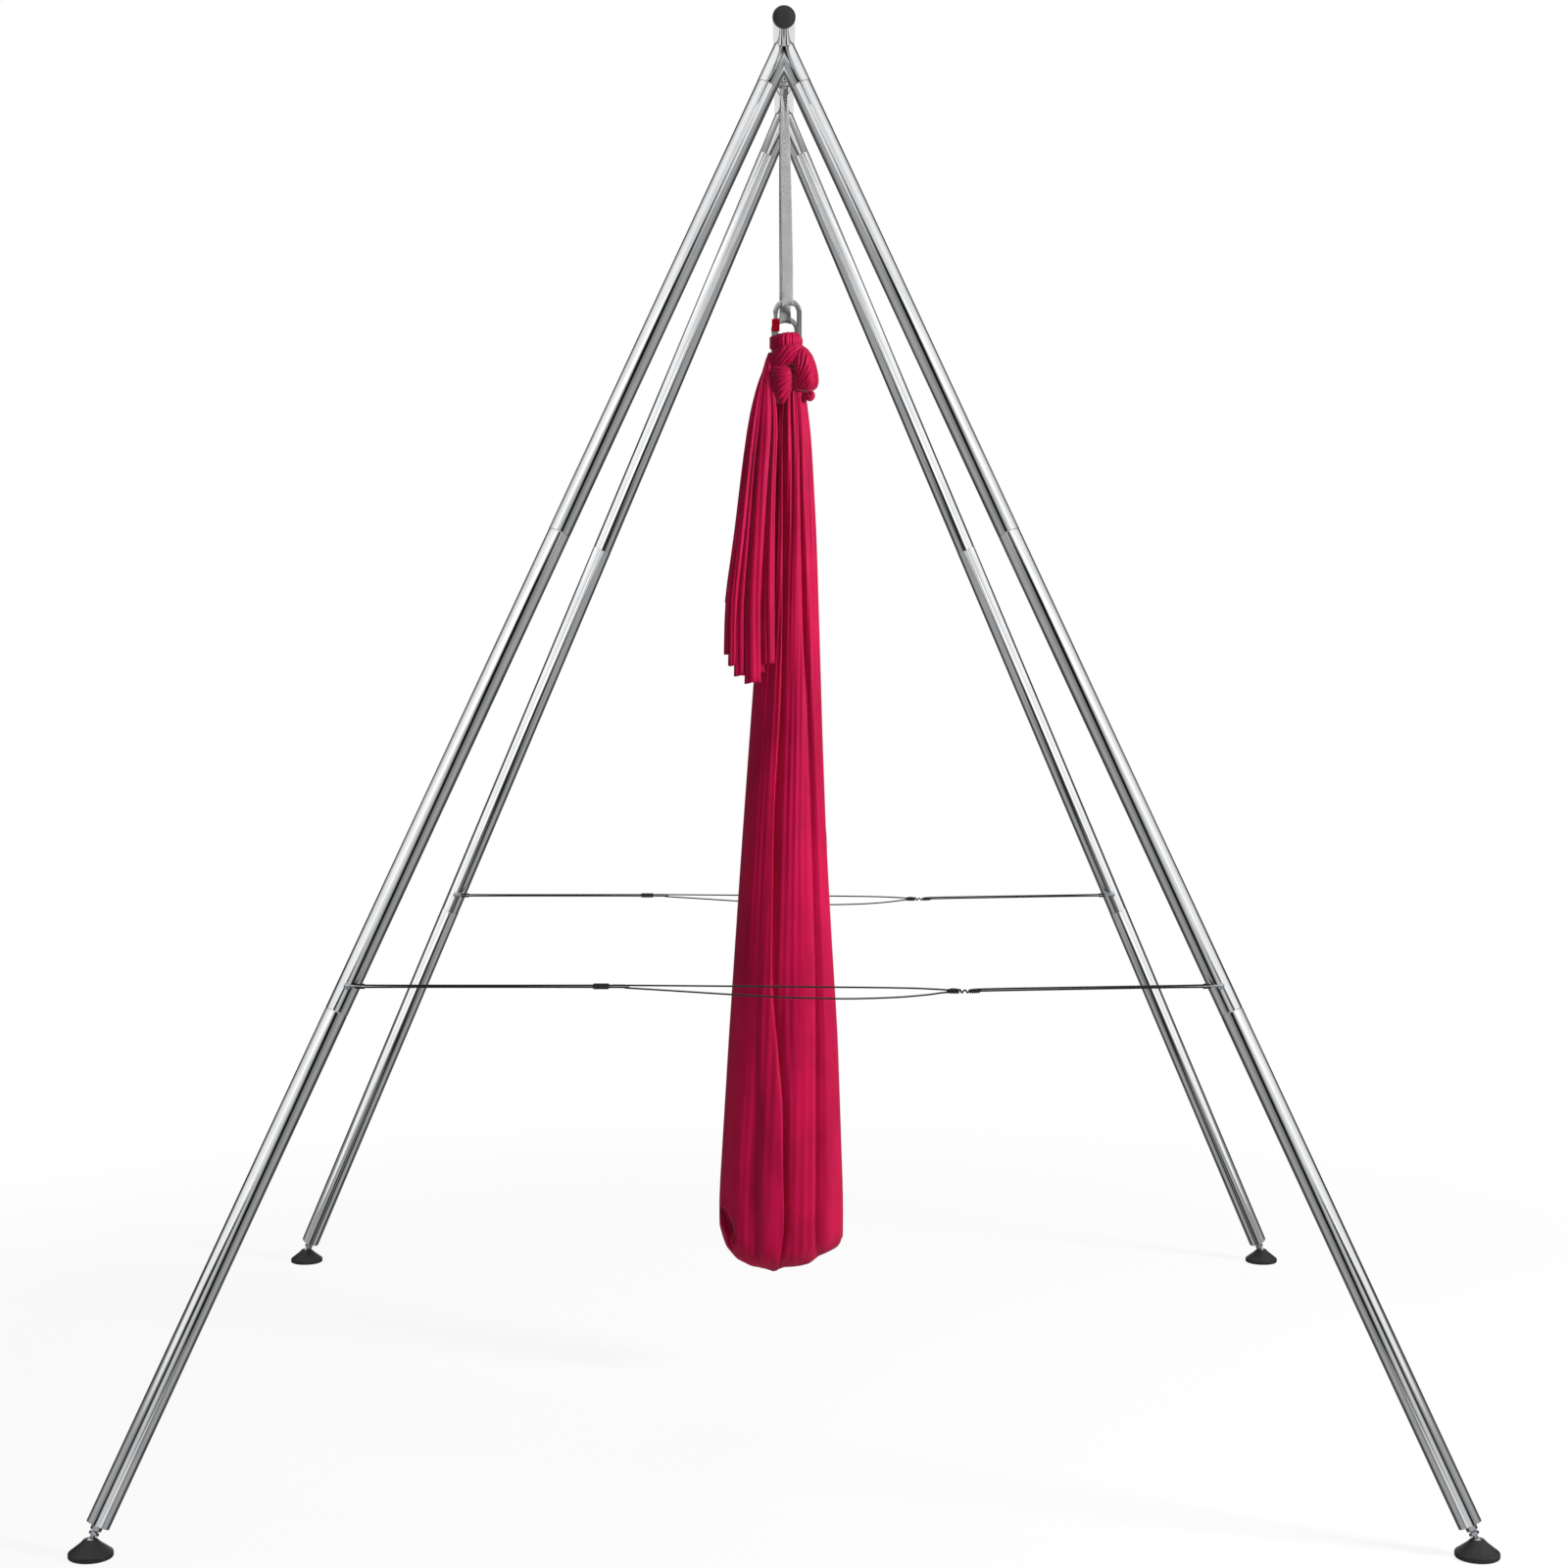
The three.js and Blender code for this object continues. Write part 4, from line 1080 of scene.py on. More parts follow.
@dataclass
class Tethers:
    """An elastic cord across each pair of legs: bolts, hooks, doubled cord, knot and slider.

    The sag gives X and drop of the lower strand between slider and knot.
    """

    steel: Material
    rope: Material
    plastic: Material
    radius: float = 1.7
    offset: float = 1.85
    converge: float = 18
    slider_middle: float = -348
    slider_length: float = 31
    knot_left: float = 309
    knot_length: float = 67
    knot_drop: float = 9.4
    sag: Pairs = (
        (-300, -3.2), (-200, -9.4), (-80, -17), (20, -21.8), (120, -23.9), (210, -21.4), (270, -16.6),
    )

    def build(self) -> None:
        """Model both tethers."""
        bolt, slider = self.bolt(), self.slider()
        for end in End:
            name = end.name.lower()
            left, right = (TetherEnd(LegLine(end, side)) for side in (Side.LEFT, Side.RIGHT))
            self.cord(name, left, right)
            place = Matrix.Translation((self.slider_middle * MM, left.bend_centre.y, left.bend_centre.z))
            piece = copy_of(slider, f"cord_slider_{name}", place)
            ride_and_replace(piece, f"slider_{name}", "black_plastic", f"tether_slider_{name}")
        for end, side in CORNERS:
            corner = corner_name(end, side)
            anchor = TetherEnd(LegLine(end, side))
            line = anchor.line
            place = axes(line.down, line.facing.cross(line.down), line.facing, line.at(anchor.along))
            piece = copy_of(bolt, f"button_bolt_{corner}", place)
            ride_and_replace(piece, "frame", "steel", f"tether_bolt_{corner}")
            ride_and_replace(self.hook(corner, anchor), "frame", "steel", f"tether_hook_{corner}")
        drop(bolt, slider)

    def cord(self, name: str, left: TetherEnd, right: TetherEnd) -> None:
        """Run the cord through the left hook and slider, knot it, and loop it through the right hook.

        Args:
            name: The tether's end of the rig.
            left: The left leg's anchor.
            right: The right leg's anchor.
        """
        y, z = left.bend_centre.y / MM, left.bend_centre.z / MM
        knot_right = self.knot_left + self.knot_length
        start = left.bend_centre.x / MM
        stop = right.bend_centre.x / MM
        slider_end = self.slider_middle + self.slider_length / 2

        def bight(x: float, sign: int) -> Pairs:
            """Turn the cord round a hook's ring."""
            angles = [math.pi * i / 8 for i in range(9)]
            return [(x + sign * left.bend * math.sin(a), left.bend * math.cos(a)) for a in angles]

        o, dip = self.offset, self.knot_drop
        main = [(self.knot_left + 12, o * 0.9 - dip), (self.knot_left - 30, o - dip * 0.75)]
        main += [(200, o - dip * 0.5), (-60, o - dip * 0.22), (slider_end + 20, o), (slider_end, o)]
        main += [(start + self.converge, o)]
        main += bight(start, -1) + [(start + self.converge, -o), (slider_end, -o)] + list(self.sag)
        main += [(self.knot_left - 8, -o - dip - 1.2), (self.knot_left + 12, -o * 0.9 - dip)]
        tail = [(knot_right - 14, o * 0.9 - dip), (knot_right + 26, o - dip * 0.7)]
        tail += [(stop - self.converge, o)]
        tail += bight(stop, 1) + [(stop - self.converge, -o), (knot_right + 26, -o - dip * 0.7)]
        tail += [(knot_right - 14, -o * 0.9 - dip)]
        ropes = []
        for label, course in (("main", main), ("tail", tail)):
            path = smooth_path([(x, y, z + drop_mm) for x, drop_mm in course], 2.5)
            ropes.append(round_rope(f"cord_{label}", path, self.radius, self.rope))
        ropes.append(round_rope("cord_knot", self.knot_coil(y, z - dip), self.radius, self.rope))
        rope = merge(f"tether_rope_{name}", *ropes)
        ride_and_replace(rope, "frame", "cord", f"tether_cord_{name}")

    def knot_coil(self, y: float, z: float) -> np.ndarray:
        """Wind the knot: two barrels of close turns and a slack crossing between them.

        Args:
            y: The cord's Y in mm.
            z: The knot's height in mm.

        Returns:
            The coil's path.
        """
        shares = [0, 0.07, 0.2, 0.34, 0.46, 0.56, 0.66, 0.8, 0.93, 1]
        sizes = [2.2, 3.5, 4.0, 3.4, 2.4, 2.3, 2.6, 3.2, 2.9, 2.1]
        turns = [0, 1.2, 3.6, 6.0, 6.9, 7.4, 8.0, 10.4, 12.6, 13.2]
        t = np.linspace(0, 1, 420)
        angle = np.interp(t, shares, turns) * TAU
        size = np.interp(t, shares, sizes)
        x = self.knot_left + 2 + t * (self.knot_length - 4)
        wander = 0.5 * np.sin(t * 9)
        return np.stack([x, y + size * np.cos(angle), z + size * np.sin(angle) + wander], axis=1)

    def bolt(self) -> Object:
        """Turn the button-head bolt and sink its hexagon socket."""
        head = TetherEnd.eye_out + 2 + 0.3
        dome, crown = head - 1.9, 5.94
        profile = [(0, 11), (2.5, 11), (2.5, head), (4.9, head)]
        profile += arc_points((4.9, head + 0.3), 0.3, -90, 0, 3)[1:]
        profile += [(5.2, head + 1.0)]
        profile += arc_points((0.0, dome), crown, 29.2, 90, 9)[1:]
        profile[-1] = (0, profile[-1][1])
        body = spun("bolt", profile, 40)
        carve(body, prism("socket", 6, 1.9, 3.6, dome + crown), "DIFFERENCE")
        return finish_piece(body, self.steel, 30)

    def hook(self, corner: str, anchor: TetherEnd) -> Object:
        """Bend the hook: an eye round the bolt, a shank and a level ring.

        Args:
            corner: The leg's corner.
            anchor: Its tether's anchor.

        Returns:
            The hook, in place.
        """
        inward, facing = anchor.inward, anchor.line.facing
        side = facing.cross(inward)
        level = inward.cross(Vector((0, 0, 1))).normalized()
        rings = []
        for centre, radius, wire, x, y in (
            (anchor.eye, 5.0, 2.0, inward, side),
            (anchor.ring, anchor.bend, 1.6, inward, level),
        ):
            deselect_all()
            bpy.ops.mesh.primitive_torus_add(
                major_radius=radius * MM, minor_radius=wire * MM, major_segments=40, minor_segments=16
            )
            ring = bpy.context.object
            ring.data.transform(axes(x, y, x.cross(y), centre))
            rings.append(ring)
        shank = spun("shank", [(0, 4.6), (1.95, 4.6), (1.7, 8), (1.6, 22), (1.75, 26.3), (0, 26.3)], 20)
        shank.data.transform(axes(side, inward.cross(side), inward, anchor.eye))
        carve(rings[0], shank, "UNION")
        carve(rings[0], rings[1], "UNION")
        rings[0].name = f"wire_hook_{corner}"
        return finish_piece(rings[0], self.steel, 40)

    def slider(self) -> Object:
        """Mould the slider: a rounded block with tapered ends, a thumb rib and two cord holes."""
        piece = block((self.slider_length, 9, 10.5))
        bevel_edges(piece, lambda edge: abs(edge.verts[0].co.y - edge.verts[1].co.y) > 0.005, 2.6, 5)
        bevel_edges(piece, lambda edge: edge.calc_face_angle() > 1.0, 0.7, 3)
        for height in (-self.offset, self.offset):
            hole = prism("hole", 24, self.radius + 0.3, 60)
            hole.data.transform(mm_place(0, 0, height) @ ALONG_X)
            carve(piece, hole, "DIFFERENCE")
        return finish_piece(piece, self.plastic, 30)


# The sling


@dataclass
class WebbingSling:
    """Flat webbing: three turns round the bar and two runs whose stitched loops hold the carabiners.

    The runs give X and Y of each loop and the height of the carabiner's wire in it. The flank gives X and
    height of the choked turn's edge.
    """

    webbing: Material
    thread: Material
    width: float = 25
    thickness: float = 2.4
    wrap_inner: float = 22.9
    pitch: float = 26.2
    swing_height: float = 2878.6
    top_width: float = 17
    throat: float = 26
    stitched: float = 70
    loop_radius: float = 8.1
    crumple: float = 0.9
    crumple_from: float = 0.72
    crumple_waves: float = 1.6
    stitch_step: float = 2.1
    flank: Pairs = (
        (24.2, 2900), (24.4, 2893), (21.8, 2884), (15.0, 2874.5), (8.2, 2862), (6.4, 2846), (6.0, 2826),
    )
    runs: dict[str, tuple[float, float, float]] = field(
        default_factory=lambda: {"front": (7.5, -10, 2415.7), "rear": (2.5, 10, 2378.7)}
    )

    def build(self) -> None:
        """Model the turns and both runs."""
        self.build_turns()
        self.build_runs()

    def strap(
        self,
        name: str,
        path: np.ndarray,
        width: np.ndarray,
        across: np.ndarray,
        bend: Callable[[np.ndarray], np.ndarray] | None = None,
    ) -> Object:
        """Sweep a webbing section, with its selvedges a little thinner, along a path.

        Args:
            name: The piece's name.
            path: Its centre line, in mm.
            width: Its width at each point.
            across: Its width direction at each point.
            bend: Moves the points.

        Returns:
            The strap.
        """
        normal = np.cross(directions(path), across)
        normal /= np.linalg.norm(normal, axis=1)[:, None]
        share = np.array([-1, -0.985, -0.93, -0.8, -0.6, -0.4, -0.2, 0, 0.2, 0.4, 0.6, 0.8, 0.93, 0.985, 1])
        half = self.thickness / 2 * np.array([0.35, 0.75, 0.95, *[1] * 9, 0.95, 0.75, 0.35])
        loop_share = np.concatenate([share, share[::-1]])
        loop_half = np.concatenate([half, -half[::-1]])
        aside = loop_share[None, :, None] * width[:, None, None] / 2
        points = path[:, None] + aside * across[:, None]
        points = points + loop_half[None, :, None] * normal[:, None]
        if bend:
            points = bend(points)

        def closed(row: np.ndarray) -> np.ndarray:
            """Draw an end section together at its middle."""
            middle = row.mean(axis=1, keepdims=True)
            return middle + (row - middle) * POINTED

        points = np.concatenate([closed(points[:1]), points, closed(points[-1:])])
        return grid_piece(name, points, self.webbing, wrap=True)

    def build_turns(self) -> None:
        """Wind the turns, each a little askew and beside the next."""
        straps = []
        angle = np.linspace(-math.pi / 2 - 0.5, 1.5 * math.pi + 0.5, 150)
        radius = self.wrap_inner + self.thickness / 2
        for turn in (-1, 0, 1):
            y = turn * self.pitch + 0.3 * np.sin(angle)
            path = np.stack([radius * np.cos(angle), y, BAR_HEIGHT + radius * np.sin(angle)], axis=1)
            across = np.tile([0.0, 1.0, 0.0], (len(path), 1))
            straps.append(self.strap(f"turn_{turn}", path, np.full(len(path), self.width), across))
        piece = merge("webbing_turns", *straps)
        ride_and_replace(piece, "sling_wrap", "webbing", "sling_bar_turns")

    def run_centre(self, y: float, top: float, z: np.ndarray) -> np.ndarray:
        """Find the run's Y at a height: it leans out from under the bar to its carabiner."""
        stitched = top + self.stitched
        return y * np.clip((self.swing_height - z) / (self.swing_height - stitched), 0, 1)

    def build_runs(self) -> None:
        """Hang both runs: down, round the carabiner's top, back up and stitched."""
        parts = []
        for x, y, top in self.runs.values():
            half = self.thickness / 2 + 0.05
            stitched, throat = top + self.stitched, top + self.throat
            high = np.linspace(self.swing_height + 2, stitched + 14, 90)
            lower = [(-half, stitched), (-half, throat), (-self.loop_radius * 0.86, top + 9)]
            around = [
                (self.loop_radius * math.cos(a), top + self.loop_radius * math.sin(a))
                for a in np.linspace(math.pi * 0.97, math.pi * 2.03, 13)
            ]
            back = [(self.loop_radius * 0.86, top + 9), (half, throat), (half, stitched)]
            points = [(x, self.run_centre(y, top, z), z) for z in high]
            points += [(x, y + offset, z) for offset, z in lower + around + back]
            path = smooth_path(points, 3.0)
            path[:, 0] = x
            rise = np.clip((path[:, 2] - stitched) / (self.swing_height - stitched), 0, 1)
            width = self.width * (1 - (1 - self.top_width / self.width) * rise**3)
            across = np.tile([1.0, 0.0, 0.0], (len(path), 1))
            run = self.strap(
                "run", path, width, across, lambda points: self.hang(points, x, stitched, throat)
            )
            parts.append(run)
            parts += self.stitches(x, y, top)
        roll = [(0, -8.5), (2.4, -8.5), (3.2, -7.7), (3.2, 7.7), (2.4, 8.5), (0, 8.5)]
        parts.append(finish_piece(spun("roll", roll, 32), self.webbing, 60))
        parts[-1].data.transform(mm_place(0, 0, self.swing_height) @ ALONG_X)
        parts[-1].data.uv_layers.new(name="cloth")
        parts += self.gathers()
        piece = merge("webbing_runs", *parts)
        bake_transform(piece)
        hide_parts("sling_runs")
        log.info("piece %s bends from the turns to the sling", piece.name)

    def hang(self, points: np.ndarray, x: float, stitched: float, throat: float) -> np.ndarray:
        """Gather a run at the bar and bend its loop to the carabiner's arch.

        Args:
            points: The run's points.
            x: Its X.
            stitched: Height of the highest stitch.
            throat: Height where the loop opens.

        Returns:
            The moved points.
        """
        moved = points.copy()
        rise = np.clip((points[..., 2] - stitched) / (self.swing_height - stitched), 0, 1)
        offset = points[..., 0] - x
        bent = np.clip((stitched - points[..., 2]) / (stitched - throat), 0, 1)
        drop_mm = WIRE_HALF_WIDTH - np.sqrt(WIRE_HALF_WIDTH**2 - offset**2)
        crumple = self.crumple * np.clip((rise - self.crumple_from) / (1 - self.crumple_from), 0, 1) ** 1.5
        moved[..., 0] = x * (1 - rise) + offset
        moved[..., 1] += crumple * np.cos(offset / self.top_width * self.crumple_waves * TAU)
        moved[..., 2] -= drop_mm * bent
        return moved

    def gathers(self) -> list[Object]:
        """Draw the two flanks of the choked turn, from the bar's sides down into the runs."""
        flanks = []
        for sign in (-1, 1):
            path = smooth_path([(sign * x, 0, z) for x, z in self.flank], 2.0)
            width = np.interp(path[:, 2], [2826, 2850, 2880, 2900], [6, 10, 22, 25])
            across = np.tile([0.0, 1.0, 0.0], (len(path), 1))
            flanks.append(self.strap("flank", path, width, across))
        return flanks

    def stitches(self, x: float, y: float, top: float) -> list[Object]:
        """Sew the loop shut with rows of bar tacks on both faces.

        Args:
            x: The run's X.
            y: Its Y at the loop.
            top: Height of the carabiner's wire.

        Returns:
            The stitches.
        """
        deselect_all()
        bpy.ops.mesh.primitive_uv_sphere_add(segments=8, ring_count=5, radius=0.45 * MM)
        stitch = bpy.context.object
        stitch.data.transform(Matrix.Diagonal((3.2, 0.8, 1.0, 1)))
        stitch.data.uv_layers.new(name="cloth")
        finish_piece(stitch, self.thread, 180)
        rows = []
        for face in (-1, 1):
            for z in range(36, 62, 5):
                for step in range(-5, 6):
                    lean = 0.25 if (z // 5) % 2 else -0.25
                    place = mm_place(x + step * self.stitch_step, y + face * (self.thickness + 0.1), top + z)
                    rows.append(copy_of(stitch, "tack", place @ Matrix.Rotation(lean, 4, "Y")))
        drop(stitch)
        return rows


@dataclass
class ScrewGateCarabiners:
    """Two oval steel carabiners, each with a hinged gate and a red knurled screw sleeve.

    The places are those of the ovals' middles. All other heights and sizes are from there.
    """

    steel: Material
    red: Material
    wire: float = 5.5
    arch: float = 31.85
    nose_radius: float = 4.4
    nose_top: float = 31
    nose_bottom: float = 22.8
    hinge: float = -26
    tab_radius: float = 4.5
    sleeve_radius: float = 8.6
    sleeve_base: float = -9.5
    sleeve_length: float = 27.8
    dimple_rim: float = 0.42
    dimple_slope: float = 0.45
    dimple_depth: float = 0.55
    places: dict[str, tuple[float, float, float]] = field(
        default_factory=lambda: {"front": (7.5, -10, 2358.1), "rear": (2.5, 10, 2321.1)}
    )

    def build(self) -> None:
        """Model one carabiner and hang it twice."""
        patterns = {
            "body": (self.body(), "sling", "steel"),
            "gate": (self.gate(), "gate", "steel"),
            "pin": (self.pin(), "sling", "steel"),
            "sleeve": (self.sleeve(), "sleeve", "red_sleeve"),
        }
        for name, (x, y, z) in self.places.items():
            for part, (pattern, body, slot) in patterns.items():
                rides = body if body == "sling" else f"{body}_{name}"
                piece = copy_of(pattern, f"screwgate_{part}_{name}", mm_place(x, y, z))
                ride_and_replace(piece, rides, slot, f"carabiner_{part}_{name}")
        drop(*(pattern for pattern, _, _ in patterns.values()))

    def body(self) -> Object:
        """Bend the wire by extruding and spinning its round end, then add nose and hinge tab."""
        deselect_all()
        gate_x, arch = -WIRE_HALF_WIDTH * MM, self.arch * MM
        bpy.ops.mesh.primitive_circle_add(
            vertices=28, radius=self.wire * MM, fill_type="NGON", location=(gate_x, 0, self.nose_top * MM)
        )
        wire = bpy.context.object
        apply_place(wire)
        tip = -(self.tab_radius - self.hinge + 0.4) * MM
        with edit_mode(wire):
            bpy.ops.mesh.select_all(action="SELECT")
            for rise, centre in ((arch - self.nose_top * MM, arch), (-2 * arch, -arch)):
                bpy.ops.mesh.extrude_region_move(TRANSFORM_OT_translate={"value": (0, 0, rise)})
                bpy.ops.mesh.spin(steps=28, angle=math.pi, center=(0, 0, centre), axis=(0, -1, 0))
            bpy.ops.mesh.extrude_region_move(TRANSFORM_OT_translate={"value": (0, 0, tip + arch)})
        settle(wire)
        low, thin, flare = self.nose_bottom, self.nose_radius, self.nose_radius + 0.9
        nose = [(0, low), (thin - 0.5, low), (thin, low + 0.5), (thin, 29.6)]
        nose += [(flare, 30.4), (flare, 31.3), (0, 31.3)]
        part = spun("nose", nose, 32)
        part.data.transform(mm_place(-WIRE_HALF_WIDTH, 0, 0))
        carve(wire, part, "UNION")
        carve(wire, self.plate("tab", 5.0, 0, -self.arch - self.wire + 0.5), "UNION")
        return finish_piece(wire, self.steel, 35)

    def plate(self, name: str, thickness: float, middle: float, level: float) -> Object:
        """Cut a hinge plate: a round end on the pin with straight sides to a level.

        Args:
            name: Its name.
            thickness: Along Y.
            middle: Its middle Y.
            level: Where it ends, above or below the hinge.

        Returns:
            The plate, in the carabiner's own frame.
        """
        disc = prism(name, 32, self.tab_radius, thickness)
        disc.data.transform(mm_place(-WIRE_HALF_WIDTH, middle, self.hinge) @ ALONG_Y)
        place = mm_place(-WIRE_HALF_WIDTH, middle, (level + self.hinge) / 2)
        bar = block((2 * self.tab_radius, thickness, abs(level - self.hinge)), place)
        carve(disc, bar, "UNION")
        return disc

    def gate(self) -> Object:
        """Turn the gate's shaft and shoulder, and fork it over the hinge tab."""
        base, shoulder, top, r = self.hinge + 4.9, self.sleeve_base - 0.3, 22.3, self.nose_radius
        profile = [(0, base), (4.8, base), (5.3, base + 0.5), (5.3, shoulder - 0.4), (4.9, shoulder)]
        profile += [(r, shoulder), (r, 18.2), (4.1, 18.4), (4.1, 19.0), (r, 19.2), (r, top - 0.4)]
        profile += [(r - 0.4, top), (0, top)]
        shaft = spun("gate", profile, 40)
        shaft.data.transform(mm_place(-WIRE_HALF_WIDTH, 0, 0))
        for sign in (-1, 1):
            carve(shaft, self.plate("cheek", 2.3, sign * 4.0, base + 0.3), "UNION")
        return finish_piece(shaft, self.steel, 35)

    def pin(self) -> Object:
        """Turn the hinge rivet with its peened ends."""
        half = 5.15
        profile = [(0, -half), (1.2, -half), (1.5, -half + 0.3), (1.5, half - 0.3), (1.2, half), (0, half)]
        pin = spun("pin", profile, 24)
        pin.data.transform(mm_place(-WIRE_HALF_WIDTH, 0, self.hinge) @ ALONG_Y)
        return finish_piece(pin, self.steel, 35)

    def sleeve(self) -> Object:
        """Turn the sleeve and press rows of dimples in its grip."""
        base, top, r = self.sleeve_base, self.sleeve_base + self.sleeve_length, self.sleeve_radius
        profile = [(4.5, base), (r - 1.6, base), (r - 0.5, base + 0.5), (r, base + 1.6)]
        rows = 6
        step = (self.sleeve_length - 3.2) / rows
        profile += [(r, base + 1.6 + step * i) for i in range(1, rows + 1)]
        profile += [(r - 0.5, top - 0.5), (r - 1.6, top), (4.5, top), (4.5, base)]
        piece = spun("sleeve", profile, 18)
        with edit_mode(piece):
            bpy.ops.mesh.select_mode(type="FACE")
            mesh = bmesh.from_edit_mesh(piece.data)
            for face in mesh.faces:
                centre = face.calc_center_median()
                out = math.hypot(centre.x, centre.y) > (r * 0.965) * MM
                inside = (base + 1.7) * MM < centre.z < (top - 1.7) * MM
                face.select_set(out and inside)
            bmesh.update_edit_mesh(piece.data)
            for width, deep in ((self.dimple_rim, 0), (self.dimple_slope, self.dimple_depth)):
                bpy.ops.mesh.inset(thickness=width * MM, depth=-deep * MM, use_individual=True)
            bpy.ops.mesh.select_mode(type="VERT")
        apply_modifier(piece, "BEVEL", width=0.16 * MM, segments=2, limit_method="ANGLE")
        piece.data.transform(mm_place(-WIRE_HALF_WIDTH, 0, 0))
        return finish_piece(piece, self.red, 40)


# The hammock


def column(table: Rows, z: np.ndarray, index: int) -> np.ndarray:
    """Read one column of a table of rows keyed by falling height, at the given heights."""
    rows = sorted(table)
    return np.interp(z, [row[0] for row in rows], [row[index] for row in rows])


def soft_column(table: Rows, z: np.ndarray, index: int) -> np.ndarray:
    """Read a table column with its corners eased, for fold lines that bend slowly."""
    weights = ((-45, 0.25), (0, 0.5), (45, 0.25))
    return sum(column(table, z + shift, index) * weight for shift, weight in weights)


# How steeply the cloth falls to a fold line and climbs from it, by the line's lap
FALL = {1: 6.0, 0: 1.7, -1: 1.2}
CLIMB = {1: 2.4, 0: 1.7, -1: 6.0}
# How far columns crowd towards the cloth's edge that lies over a fold line, as a power
CROWDING = 1.7


@dataclass(frozen=True)
class Fold:
    """One fold line down the front of the cloth.

    Attributes:
        rows: Height, X and inset of its points; a ridge has no inset.
        columns: Mesh columns between it and the line to its left.
        lap: 1 where the cloth on its right lies over it, -1 where the cloth on its left does.
    """

    rows: Rows
    columns: int
    lap: int = 0


